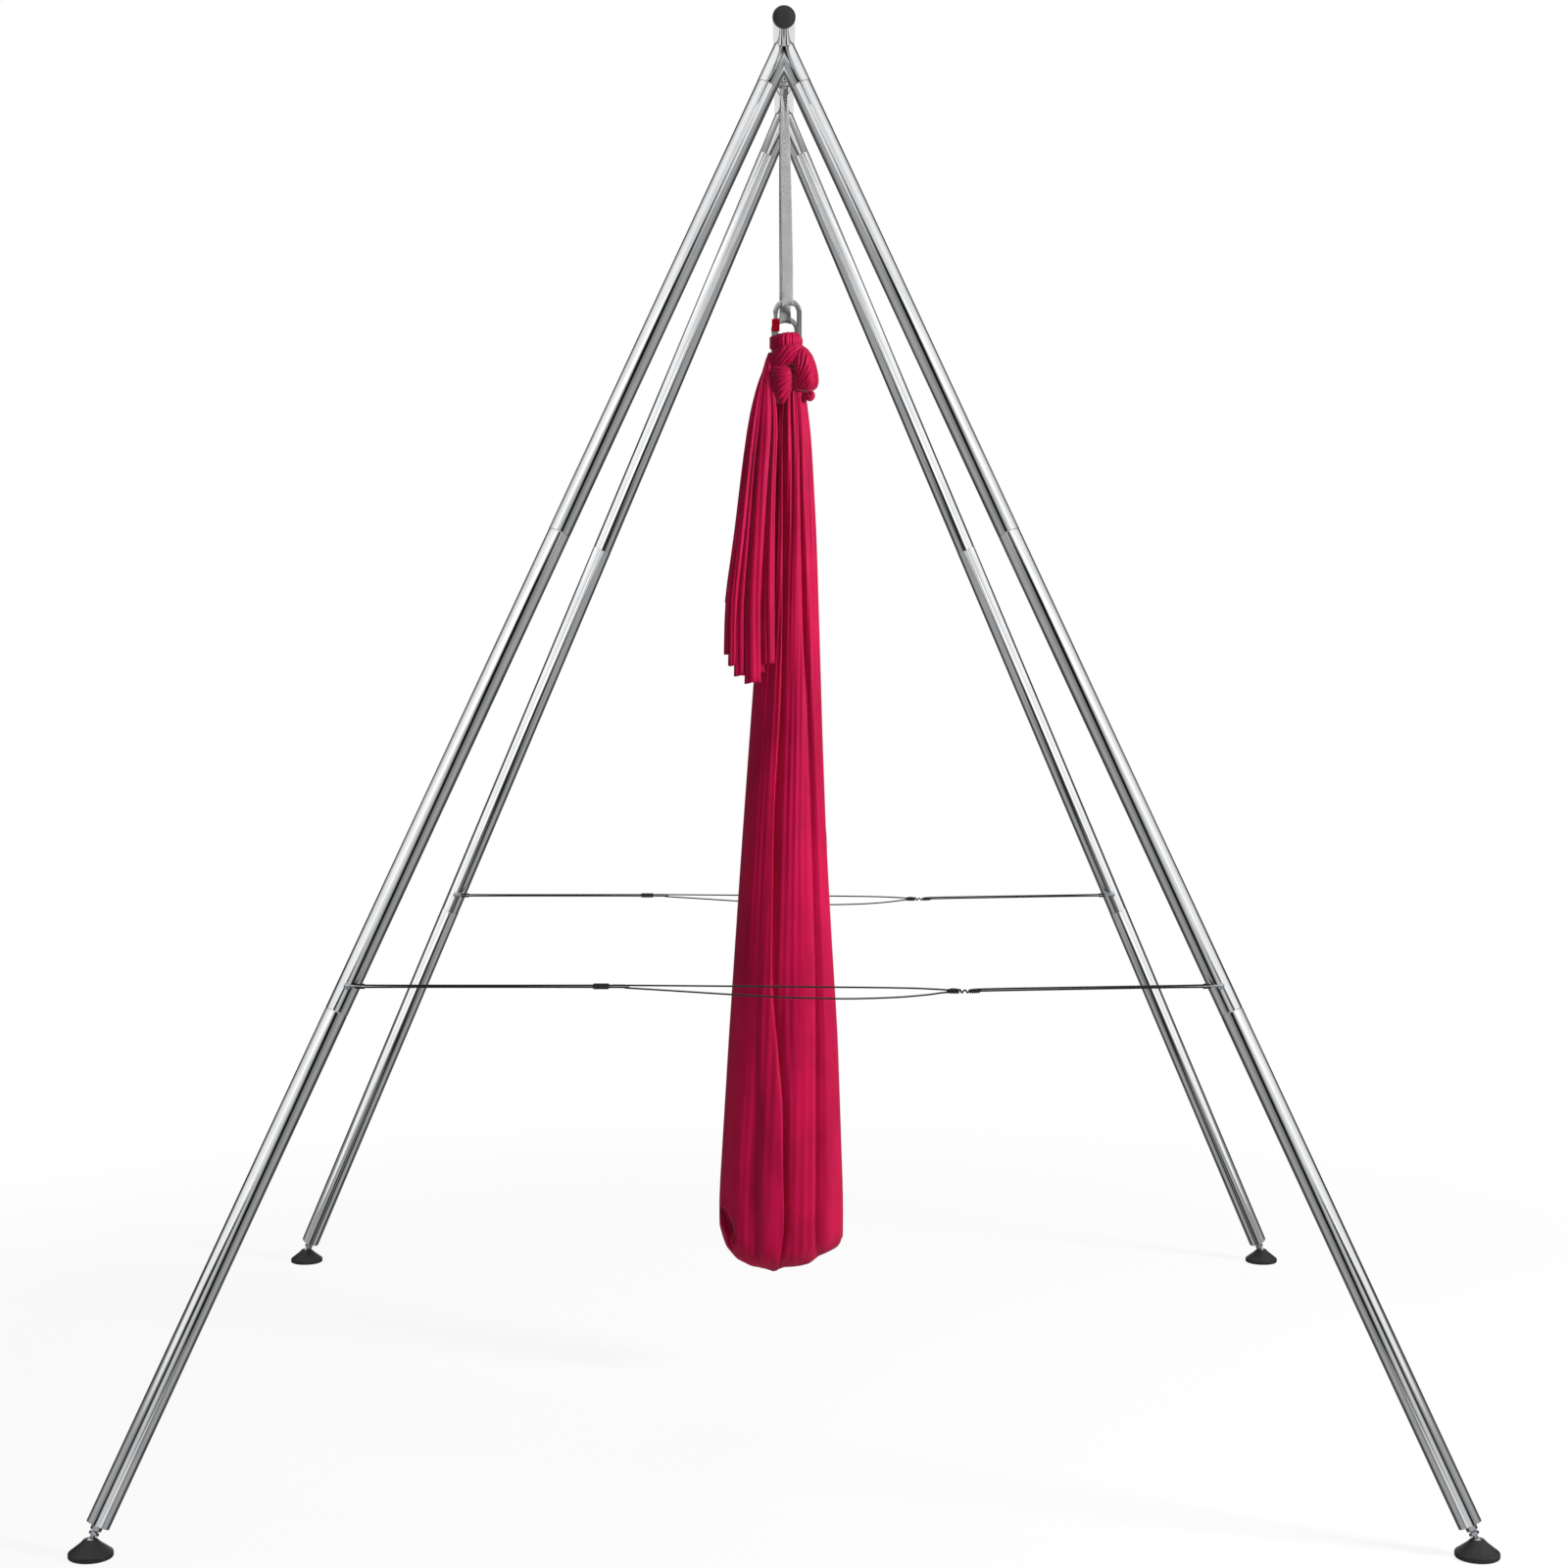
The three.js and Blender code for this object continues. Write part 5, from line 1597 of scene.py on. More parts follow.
@dataclass
class HammockCloth:
    """The hanging cloth: its pleated body and free tail.

    The outlines' rows give height, left X, right X, middle Y and depth: the body's depth is a share of its
    half width, the tail's is in mm. Hem rows give X and height, openings X, height, length, width and depth,
    and tail strips the share of the width where they start and stop, their hem and how far forward they are.
    """

    cloth: Material
    thickness: float = 0.8
    front_columns: int = 232
    back_columns: int = 96
    body_rows: int = 132
    top: float = 2232
    low: float = 262.0
    zip_below: float = 600
    zip_gap: float = 0.4
    undercut: float = 0.4
    outline: Rows = (
        (2240, -16, 44, 2, 0.9), (2226, -20, 46, 2, 0.9), (2190, -26, 52, 4, 0.8),
        (2127, -28, 60, 6, 0.78), (1911, -44, 72, 7, 0.72), (1753, -55, 77, 6, 0.7),
        (1454, -77, 86, 4, 0.68), (1235, -93, 94, 2, 0.66), (1016, -108, 106, 0, 0.64),
        (795, -123, 120, 0, 0.62), (420, -146, 133, 0, 0.58), (350, -145, 133, 0, 0.56),
        (240, -141, 130, 0, 0.56),
    )
    hem: Rows = (
        (-146, 385), (-144, 365), (-136, 330), (-128, 308), (-106, 281), (-73, 264), (-40, 259),
        (-21, 252), (-7, 262), (31, 265), (59, 271), (78, 288), (92, 293), (112, 304), (124, 312),
        (131, 330), (133, 350),
    )
    openings: Sequence[tuple[float, float, float, float, float]] = (
        (-126, 371, 41, 13, 32), (-121, 330, 15, 5.5, 14),
    )
    folds: Sequence[Fold] = (
        Fold((
            (2240, -3, 0), (2153, -20.5, 0), (2046, -27, 0), (1873, -35, 0), (1526, -50, 0),
            (1308, -62, 0), (913, -86, 0), (648, -100, 0), (470, -98, 0), (240, -94, 0),
        ), 26),
        Fold((
            (2240, -1, 5), (2153, -16.5, 12), (2046, -13, 14), (1873, -17, 12), (1700, -24, 4),
            (1526, -34, 1.5), (1308, -45, 1), (913, -58, 2), (648, -59, 8), (470, -66, 14),
            (358, -63, 14), (240, -60, 9),
        ), 22, -1),
        Fold((
            (2240, 2, 0), (2153, -9, 0), (1873, -10, 0), (1700, -12, 0), (1526, -17, 0),
            (1308, -27, 0), (913, -38, 0), (648, -26, 0), (470, -8, 0), (358, -2, 0), (322, -8, 0),
            (290, -15, 0), (240, -24, 0),
        ), 22),
        Fold((
            (2240, 6, 6), (2153, -2, 10), (2046, 0, 14), (1700, 0, 13), (1526, -4, 13),
            (1308, -19, 14), (913, -24, 14), (648, 3, 14), (470, 2, 15), (358, 4, 15), (322, -3, 14),
            (290, -9, 12), (240, -16, 8),
        ), 16, 1),
        Fold((
            (2240, 10, 0), (2153, 8.7, 0), (2046, 12, 3), (1700, 12, 4), (1526, 12, 4), (1308, 6, 3.5),
            (913, 8, 4), (648, 20, 3), (470, 18, 3), (358, 19, 2), (290, 12, 2), (240, 6, 2),
        ), 16),
        Fold((
            (2240, 14, 4), (2153, 16, 7), (2046, 20, 4), (1873, 20, 2), (1308, 20, 1.2), (913, 26, 1),
            (648, 34, 0.6), (240, 33, 0.6),
        ), 16),
        Fold((
            (2240, 20, 0), (2153, 26, 0), (2046, 28, 0), (1700, 26, 0), (1526, 27, 0), (1308, 36, 0),
            (913, 46, 0), (648, 50, 0), (470, 48, 0), (240, 46, 0),
        ), 20),
        Fold((
            (2240, 25, 4), (2153, 35, 6), (2046, 37, 10), (1873, 41, 12), (1700, 46.6, 16),
            (1526, 56.6, 16), (1308, 64.4, 16), (913, 75.5, 16), (648, 75.7, 16), (470, 75.7, 17),
            (358, 74, 15), (318, 71, 14), (296, 79, 12), (240, 86, 9),
        ), 24, 1),
        Fold((
            (2240, 30, 0), (2153, 40, 0), (2046, 44, 0), (1873, 50, 0), (1700, 60, 0), (1526, 67, 0),
            (1308, 78, 0), (913, 92, 0), (648, 101, 0), (470, 104, 0), (240, 98, 0),
        ), 16),
        Fold((
            (2240, 34, 3), (2153, 44, 5), (2046, 50, 6), (1873, 60, 5), (1700, 70, 5), (1526, 76, 3),
            (1308, 85, 1.5), (913, 101, 1.5), (648, 116, 1.5), (470, 119, 3), (240, 110, 3),
        ), 14),
        Fold((
            (2240, 38, 0), (2153, 51, 0), (2046, 60, 0), (1873, 68, 0), (1700, 76, 0), (1526, 82, 0),
            (1308, 91, 0), (913, 109, 0), (648, 125, 0), (470, 128, 0), (240, 122, 0),
        ), 14),
    )
    tail_top: float = 2303
    tail_outline: Rows = (
        (2306, -28, -20, -4, 3), (2297, -33, -23, -13, 5), (2290, -38, -26, -20, 7),
        (2262, -49, -29, -29, 10), (2240, -57, -27, -32, 11), (2213, -65, -19, -34, 11),
        (2180, -73, -13, -37, 12), (2124, -83, -12, -39, 12), (2019, -97, -17, -43, 13),
        (1911, -110, -20, -46, 14), (1753, -133, -22, -50, 15), (1570, -138, -21, -51, 15),
    )
    tail_strips: Sequence[tuple[float, float, float, float]] = (
        (0.0, 0.14, 1756, 9), (0.02, 0.2, 1641, 1), (0.12, 0.27, 1616, -4), (0.23, 0.46, 1594, -1),
        (0.42, 0.76, 1578, -7), (0.7, 0.82, 1600, 3), (0.79, 1.0, 1620, -3),
    )

    def build(self) -> list[Object]:
        """Model the body and the tail."""
        body = self.build_body()
        tail = self.build_tail()
        return [body, tail]

    def front_ring(self, z: np.ndarray) -> tuple[np.ndarray, np.ndarray]:
        """Lay the fold lines across the front at each height.

        Args:
            z: Heights, rows by front columns.

        Returns:
            X and Y in mm.
        """
        left, right, middle, depth = (soft_column(self.outline, z, i) for i in (1, 2, 3, 4))
        half, centre = (right - left) / 2, (left + right) / 2
        counts = [fold.columns for fold in self.folds] + [26]
        lines = [(left, np.zeros_like(z))]
        lines += [(soft_column(fold.rows, z, 1), soft_column(fold.rows, z, 2)) for fold in self.folds]
        lines.append((right, np.zeros_like(z)))
        angles = [np.arccos(np.clip((x - centre) / half, -1, 1)) for x, _ in lines]
        laps = [0, *(fold.lap for fold in self.folds), 0]
        angle, inset, start = np.empty_like(z), np.empty_like(z), 0
        for i, count in enumerate(counts):
            stop = min(start + count, z.shape[1])
            part = slice(start, stop)
            steps = (np.arange(stop - start) / count)[None, :]
            into, out_of = laps[i + 1], laps[i]
            share = 1 - (1 - steps) ** CROWDING if into > 0 else steps**CROWDING if out_of < 0 else steps
            a, b = lines[i][1][:, part], lines[i + 1][1][:, part]
            fall, climb = share ** FALL[into], (1 - share) ** CLIMB[out_of]
            inset[:, part] = a + (b - a) * np.where(b >= a, fall, 1 - climb)
            under = into * b * fall + out_of * a * (1 - share) ** 6
            angle[:, part] = angles[i][:, part] + (angles[i + 1][:, part] - angles[i][:, part]) * share
            angle[:, part] += self.undercut * under / half[:, part]
            start = stop
        ripple = 0.7 * np.sin(angle * 41 + z * 0.006) * np.sin(angle * 3 + z * 0.0031)
        near = np.clip((z - 1850) / 300, 0, 1)
        ripple += near * 1.1 * np.sin(angle * 23 - z * 0.004)
        ripple += 1.3 * np.sin(z * 0.011 + angle * 7) * np.sin(angle)
        inset = inset + ripple * np.sin(angle)
        x = centre + (half - 0.25 * inset) * np.cos(angle)
        return x, middle - (half * depth - inset) * np.sin(angle) + self.opened(x, z)

    def opened(self, x: np.ndarray, z: np.ndarray) -> np.ndarray:
        """Push the cloth in where it gapes at the lower left, and turn out its lip.

        Args:
            x: X of the cloth in mm.
            z: Its heights.

        Returns:
            How far it moves back, in mm.
        """
        total = np.zeros_like(z)
        slope = math.atan2(-75, 32)
        for across, level, length, width, deep in self.openings:
            along = ((x - across) * math.cos(slope) + (z - level) * math.sin(slope)) / length
            aside = ((z - level) * math.cos(slope) - (x - across) * math.sin(slope)) / width
            away = np.sqrt(along**2 + aside**2)
            total += deep * np.clip((1 - away) * 2.5, 0, 1) ** 0.8
            total -= 2.5 * np.exp(-(((away - 1.12) / 0.14) ** 2))
        return total

    def back_ring(self, z: np.ndarray) -> tuple[np.ndarray, np.ndarray]:
        """Pleat the back evenly, with folds that wander.

        Args:
            z: Heights, rows by back columns.

        Returns:
            X and Y in mm.
        """
        left, right, middle, depth = (soft_column(self.outline, z, i) for i in (1, 2, 3, 4))
        half, centre = (right - left) / 2, (left + right) / 2
        share = (np.arange(z.shape[1]) / z.shape[1])[None, :]
        angle = math.pi * share + 0 * z
        wave = 7 * TAU / 2 * share + 0.9 * np.sin(z * 0.0021) + 0.6 * np.sin(z * 0.0043 + share * 6)
        deep = 4 + 10 * np.clip((2250 - z) / 700, 0, 1)
        inset = deep * np.abs(np.cos(wave)) ** 2.2 * np.sin(angle) ** 0.5
        inset += 1.2 * np.sin(z * 0.012 + share * 25) * np.sin(angle)
        x = centre + (half - 0.25 * inset) * np.cos(angle)
        return x, middle + (half * depth - inset) * np.sin(angle)

    def build_body(self) -> Object:
        """Hang the closed, pleated body down to its rounded bottom.

        Returns:
            The body.
        """
        fall, front = np.linspace(0, 1, self.body_rows), self.front_columns
        low_x, low_y = (ring[0] for ring in self.front_ring(np.full((1, front), self.low)))
        back_x = self.back_ring(np.full((1, self.back_columns), self.low))[0][0]
        xs = np.concatenate([low_x, back_x])
        hem = sum(np.interp(xs + shift, *np.transpose(self.hem)) for shift in (-5, 0, 5)) / 3
        smooth = np.interp(low_x, [-146, 0, 133], [0, -75, 0])
        hem[:front] += np.clip(low_y - smooth, 0, 14) * 0.4
        z = self.top + (hem - self.top)[None, :] * (1 - (1 - fall[:, None]) ** 1.12)
        x, y = map(np.hstack, zip(self.front_ring(z[:, :front]), self.back_ring(z[:, front:])))
        above = np.clip((z - hem[None, :]) / 58, 0, 1)
        close = np.sqrt(np.clip(1 - (1 - above) ** 2, 0, 1))
        y = y * close + 2.0 * (1 - close)
        points = np.stack([x, y, z], axis=-1)
        piece = grid_piece("hammock_body_cloth", points, self.cloth, wrap=True)
        self.zip_bottom(piece, len(fall), points.shape[1])
        thicken(piece, self.thickness)
        ride_and_replace(piece, "sling", "cloth", "hammock_body")
        return piece

    def zip_bottom(self, piece: Object, rows: int, columns: int) -> None:
        """Close the cloth where its front and back meet at the bottom, and merge what meets."""
        mesh = bmesh.new()
        mesh.from_mesh(piece.data)
        mesh.verts.ensure_lookup_table()
        ring = mesh.verts[(rows - 1) * columns :]
        bmesh.ops.remove_doubles(mesh, verts=ring, dist=self.zip_gap * MM)
        rim = [edge for edge in mesh.edges if edge.is_boundary]
        rim = [edge for edge in rim if all(vert.co.z < self.zip_below * MM for vert in edge.verts)]
        bmesh.ops.holes_fill(mesh, edges=rim, sides=0)
        bmesh.ops.triangulate(mesh, faces=[face for face in mesh.faces if len(face.verts) > 4])
        for face in mesh.faces:
            face.smooth = True
        mesh.to_mesh(piece.data)
        mesh.free()
        turn_outwards(piece)

    def build_tail(self) -> Object:
        """Hang the tail as overlapping pleats, each with its own hem.

        Returns:
            The tail.
        """
        strips = []
        for number, (start, stop, hem, forward) in enumerate(self.tail_strips):
            angle = np.linspace(0, TAU, 44, endpoint=False)[None, :]
            fall = np.linspace(0, 1, 64)[:, None]
            slant = hem + 1.2 * np.sin(angle * 2 + number) + 1.5 * np.cos(angle)
            z = self.tail_top + (slant - self.tail_top) * fall
            left, right, middle, deep = (soft_column(self.tail_outline, z, i) for i in (1, 2, 3, 4))
            centre = left + (right - left) * (start + stop) / 2
            half = (right - left) * (stop - start) / 2
            wander = 0.12 * np.sin(z * 0.006 + number * 1.7)
            crease = 1 - 0.22 * np.abs(np.sin(angle * 2.5 + z * 0.004 + number)) ** 4
            x = centre + half * np.cos(angle) * crease * (1 + wander)
            spread = np.clip((2300 - z) / 250, 0.35, 1)
            y = middle + forward * spread + deep * 0.62 * np.sin(angle) * crease * spread
            points = np.stack([x, y, z], axis=-1)
            strips.append(grid_piece(f"pleat_{number}", points, self.cloth, wrap=True))
        piece = merge("hammock_tail_cloth", *strips)
        turn_outwards(piece)
        thicken(piece, self.thickness)
        ride_and_replace(piece, "sling", "cloth", "hammock_tail")
        return piece


@dataclass(frozen=True)
class Wrap:
    """One band of cloth in the knot.

    Attributes:
        course: Points that its middle runs through.
        widths: Its width along the course.
        bulge: How far it stands out.
        creases: Place across, slant and depth of each crease.
        tuck: Degrees from its middle to its edges, which lie inside the knot.
    """

    course: Sequence[tuple[float, float, float]]
    widths: Sequence[float]
    bulge: float
    creases: Sequence[tuple[float, float, float]]
    tuck: float = 100.0


@dataclass(frozen=True)
class Pad:
    """One puffed part of the knot, from edge to edge.

    Attributes:
        rows: X and Z of one edge, X and Z of the other, front Y and back Y.
        focus: X and Z of the point where its creases run together.
        creases: Direction in degrees and depth of each crease.
        hang: How far each edge turns back into the knot: less of it leaves the edge standing out.
    """

    rows: Sequence[tuple[float, float, float, float, float, float]]
    focus: tuple[float, float]
    creases: Pairs
    hang: tuple[float, float] = (0.94, 0.94)


@dataclass
class HammockKnot:
    """The cloth's knot: a gathered collar in the carabiners, wraps round it and the lobe below them.

    The gathers give the direction in degrees and the depth of the collar's creases.
    """

    cloth: Material
    thickness: float = 0.8
    heart: tuple[float, float, float] = (18, 4, 2250)
    fan: Pad = Pad(
        (
            (-35, 2260, -35, 2288, 2, 16), (-33, 2263, -32, 2299, -18, 6),
            (-22, 2267, -20, 2309, -33, -4), (-6, 2272, -4, 2315, -41, -6),
            (10, 2276, 12, 2318, -44, -6), (26, 2273, 28, 2320, -42, -4), (38, 2270, 42, 2318, -33, 2),
            (46, 2272, 50, 2311, -20, 8),
        ),
        (-75, 2222),
        (
            (25.5, 1.8), (29, 2.2), (33.5, 1.6), (37.5, 2.4), (42, 1.8), (47, 2.4), (52.5, 1.8), (57.5, 2.0),
        ),
        (0.5, 0.5),
    )
    bulge: Pad = Pad(
        (
            (34, 2317, 41, 2318, -20, -8), (30, 2311, 52, 2312, -36, -4), (26, 2298, 63, 2298, -44, 0),
            (23.5, 2280, 71, 2278, -49, 2), (23, 2262, 76, 2256, -51, 4),
            (22.5, 2244, 77, 2238, -50, 4), (22, 2230, 73, 2226, -44, 4), (23, 2222, 63, 2219, -34, 2),
            (27, 2220, 50, 2216, -22, 0),
        ),
        (8, 2184),
        ((35, 2.0), (41.5, 1.6), (47.5, 2.4), (53, 1.8), (59, 2.6), (64.5, 1.8), (70, 2.4), (75, 1.8)),
        (0.5, 0.94),
    )
    lobe: Pad = Pad(
        (
            (-24, 2280, 18, 2280, -18, -10), (-31, 2274, 25, 2274, -32, -8),
            (-33, 2262, 27.5, 2260, -46, -6), (-32.5, 2248, 26.5, 2246, -50, -6),
            (-30, 2234, 23, 2232, -50, -6), (-26.5, 2219, 18, 2217, -47, -6),
            (-22, 2205, 11, 2204, -41, -8), (-17, 2196, 5, 2195, -34, -10),
            (-12, 2190, -2, 2189, -26, -12),
        ),
        (36, 2254),
        (
            (-201, 1.4), (-191, 2.2), (-182, 1.5), (-172, 2.6), (-162, 1.6), (-151, 2.6), (-140, 1.8),
            (-128, 2.4),
        ),
    )
    gathers: Pairs = (
        (4, 2.6), (26, 1.8), (47, 3.2), (74, 2.2), (98, 3.0), (121, 2.0), (149, 3.0), (172, 2.2),
        (193, 3.2), (216, 2.4), (233, 3.4), (247, 1.8), (262, 3.6), (279, 2.2), (291, 3.4), (306, 2.0),
        (322, 3.4), (343, 2.4),
    )
    wraps: Sequence[Wrap] = (
        Wrap(
            ((34, 26, 2300), (52, 20, 2280), (60, 12, 2250), (56, 14, 2222), (38, 20, 2204), (18, 22, 2198)),
            (30, 44, 52, 50, 40, 30), 14,
            ((-0.5, 0.2, 2.4), (0.0, -0.1, 2.8), (0.45, 0.1, 2.2)),
        ),
        Wrap(
            ((-16, 26, 2296), (-24, 24, 2270), (-22, 22, 2240), (-8, 24, 2212), (8, 22, 2196)),
            (34, 46, 50, 44, 30), 12,
            ((-0.45, 0.1, 2.2), (0.1, 0.2, 2.6), (0.5, -0.1, 2.0)),
        ),
    )

    def build(self) -> Object:
        """Model each part of the knot and join them."""
        parts = [self.core(), self.collar(), self.loop_end()]
        parts += [self.pad(pad) for pad in (self.fan, self.bulge, self.lobe)]
        parts += [self.wrap(f"wrap_{i}", wrap) for i, wrap in enumerate(self.wraps)]
        piece = merge("knotted_wraps", *parts)
        thicken(piece, self.thickness)
        ride_and_replace(piece, "sling", "cloth", "hammock_knot")
        return piece

    def crease(
        self, across: np.ndarray, along: np.ndarray, lines: Sequence[tuple[float, float, float]]
    ) -> np.ndarray:
        """Sum sharp creases that run along a band.

        Args:
            across: Place across the band, from -1 to 1.
            along: Place along it, from 0 to 1.
            lines: Place, slant and depth of each crease.

        Returns:
            How far the surface is pressed in, in mm.
        """
        total = np.zeros(np.broadcast(across, along).shape)
        for place, slant, depth in lines:
            middle = place + slant * (along - 0.5) + 0.05 * np.sin(along * 9 + place * 7)
            total += depth * np.exp(-np.abs(across - middle) / 0.075)
        return total

    def wrap(self, name: str, wrap: Wrap) -> Object:
        """Sweep a band round the knot, its edges tucked in.

        Args:
            name: Its name.
            wrap: The band.

        Returns:
            The band.
        """
        path = smooth_path(wrap.course, 2.2)
        along = np.linspace(0, 1, len(path))[:, None]
        width = np.interp(along[:, 0], np.linspace(0, 1, len(wrap.widths)), wrap.widths)
        tangent = directions(path)
        out = path - np.array(self.heart)
        out -= tangent * np.sum(out * tangent, axis=1)[:, None]
        out /= np.linalg.norm(out, axis=1)[:, None]
        side = np.cross(tangent, out)
        angle = np.radians(np.linspace(-wrap.tuck, wrap.tuck, 64))[None, :]
        pressed = self.crease(np.sin(angle), along, wrap.creases)
        rise = (wrap.bulge - pressed) * np.cos(angle) - wrap.bulge * 0.6
        offset = (width[:, None] / 2 - pressed * 0.3) * np.sin(angle)
        points = path[:, None] + offset[..., None] * side[:, None] + rise[..., None] * out[:, None]
        return self.outward(grid_piece(name, points, self.cloth, turned=True))

    def outward(self, piece: Object) -> Object:
        """Turn a shell's faces away from the knot's heart."""
        heart = Vector(self.heart) * MM
        mesh = piece.data
        facing = sum((p.center - heart).dot(p.normal) * p.area for p in mesh.polygons)
        if facing < 0:
            mesh.flip_normals()
        return piece

    def core(self) -> Object:
        """Round off the knot's inside, which shows between the wraps and behind."""
        polar = np.radians(np.linspace(14, 162, 40))[:, None]
        angle = np.linspace(0, TAU, 72, endpoint=False)[None, :]
        folds = 1 - 0.05 * np.abs(np.sin(angle * 5 + polar * 2)) ** 3
        x = 20 + 42 * np.sin(polar) * np.cos(angle) * folds
        y = 4 + 31 * np.sin(polar) * np.sin(angle) * folds
        z = np.broadcast_to(2246 + 50 * np.cos(polar), x.shape)
        points = np.stack([x, y, z], axis=-1)
        return self.outward(grid_piece("core", points, self.cloth, wrap=True))

    def collar(self) -> Object:
        """Gather the collar that hangs in the carabiners, its top edge turned in."""
        angle = np.linspace(0, TAU, 300, endpoint=False)[None, :]
        rows = [(2322, 0.4), (2334, 0.45), (2342, 0.52), (2346, 0.62), (2347, 0.72), (2345.5, 0.82)]
        rows += [(2341, 0.92), (2334, 0.99), (2327, 1.01), (2319, 0.98), (2311, 0.92), (2302, 0.84)]
        rows += [(2292, 0.76), (2282, 0.7)]
        levels, size = np.array(rows).T[..., None]
        along = np.linspace(0, 1, len(levels))[:, None]
        degrees = np.degrees(angle) + 5 * np.sin(along * 2.6) * np.cos(angle)
        pressed = np.zeros_like(degrees)
        for middle, deep in self.gathers:
            pressed = pressed + deep * np.exp(-np.abs((degrees - middle + 180) % 360 - 180) / 4.6)
        pressed = pressed * np.clip(along * 3, 0.45, 1)
        top_wave = 1.5 * (1.4 - pressed) * np.clip(1 - along * 1.8, 0, 1)
        x = 5.5 + 4 * (1 - size) + (36.5 * size - pressed) * np.cos(angle)
        y = (34 * size - pressed) * np.sin(angle)
        beside_sleeve = 6 * np.exp(-(((degrees - 212) / 36) ** 2)) * np.clip(1.2 - along * 1.3, 0, 1)
        points = np.stack([x, y, levels + top_wave - beside_sleeve], axis=-1)
        return self.outward(grid_piece("collar", points, self.cloth, wrap=True))

    def pad(self, pad: Pad) -> Object:
        """Puff one part out between its edges, with creases that run together at one point.

        Args:
            pad: The part.

        Returns:
            The part, as an open shell whose edges turn back into the knot.
        """
        rows = np.array(pad.rows, float)
        place = np.linspace(0, len(rows) - 1, 76)
        table = np.stack([np.interp(place, np.arange(len(rows)), rows[:, i]) for i in range(6)], axis=1)
        for _ in range(6):
            table[1:-1] = (table[:-2] + 2 * table[1:-1] + table[2:]) / 4
        start, stop = table[:, None, 0:2], table[:, None, 2:4]
        front, back = table[:, 4, None], table[:, 5, None]
        angle = np.radians(np.linspace(-100, 100, 84))[None, :]
        flat = (start + stop) / 2 + (stop - start) / 2 * np.sin(angle)[..., None]
        x, z = flat[..., 0], flat[..., 1]
        across, up = x - pad.focus[0], z - pad.focus[1]
        toward = np.degrees(np.arctan2(up, across))
        toward = np.where(toward > pad.creases[-1][0] + 180, toward - 360, toward)
        toward += 1.2 * np.sin(np.hypot(across, up) * 0.09)
        pressed = sum(deep * np.exp(-np.abs(toward - middle) / 1.9) for middle, deep in pad.creases)
        hang = np.where(angle < 0, pad.hang[0], pad.hang[1])
        out = np.cos(angle * hang)
        rim = 8 * np.clip((np.degrees(np.abs(angle)) - 72) / 28, 0, 1) ** 2 * (0.94 - hang)
        y = back + (front - back) * out + 2.3 * pressed * np.cos(angle * 0.9) + rim
        points = np.stack([x, y, z], axis=-1)
        return self.outward(grid_piece("pad", points, self.cloth))

    def loop_end(self) -> Object:
        """Curl the small loop of cloth that ends at the knot's lower right."""
        turn = np.linspace(math.radians(120), math.radians(-190), 40)
        centre = np.array([57, -16, 2209])
        path = centre + np.stack([5.5 * np.cos(turn), -4 + 4 * np.sin(turn / 2), 6.5 * np.sin(turn)], axis=1)
        path = even_path(path, 1.2)
        normal, binormal = path_frames(path, (0, 1, 0))
        angle = np.linspace(0, TAU, 24, endpoint=False)
        size = np.interp(np.linspace(0, 1, len(path)), [0, 0.3, 0.7, 1], [6.5, 7, 6.5, 5])
        folds = 1 - 0.15 * np.abs(np.sin(angle * 2.5)) ** 3
        wide, deep = (1.3 * np.cos(angle))[None, :, None], (0.78 * np.sin(angle))[None, :, None]
        section = wide * normal[:, None] + deep * binormal[:, None]
        points = path[:, None] + size[:, None, None] * folds[None, :, None] * section
        piece = grid_piece("loop_end", points, self.cloth, wrap=True, turned=True)
        turn_outwards(piece)
        return piece


# The studio


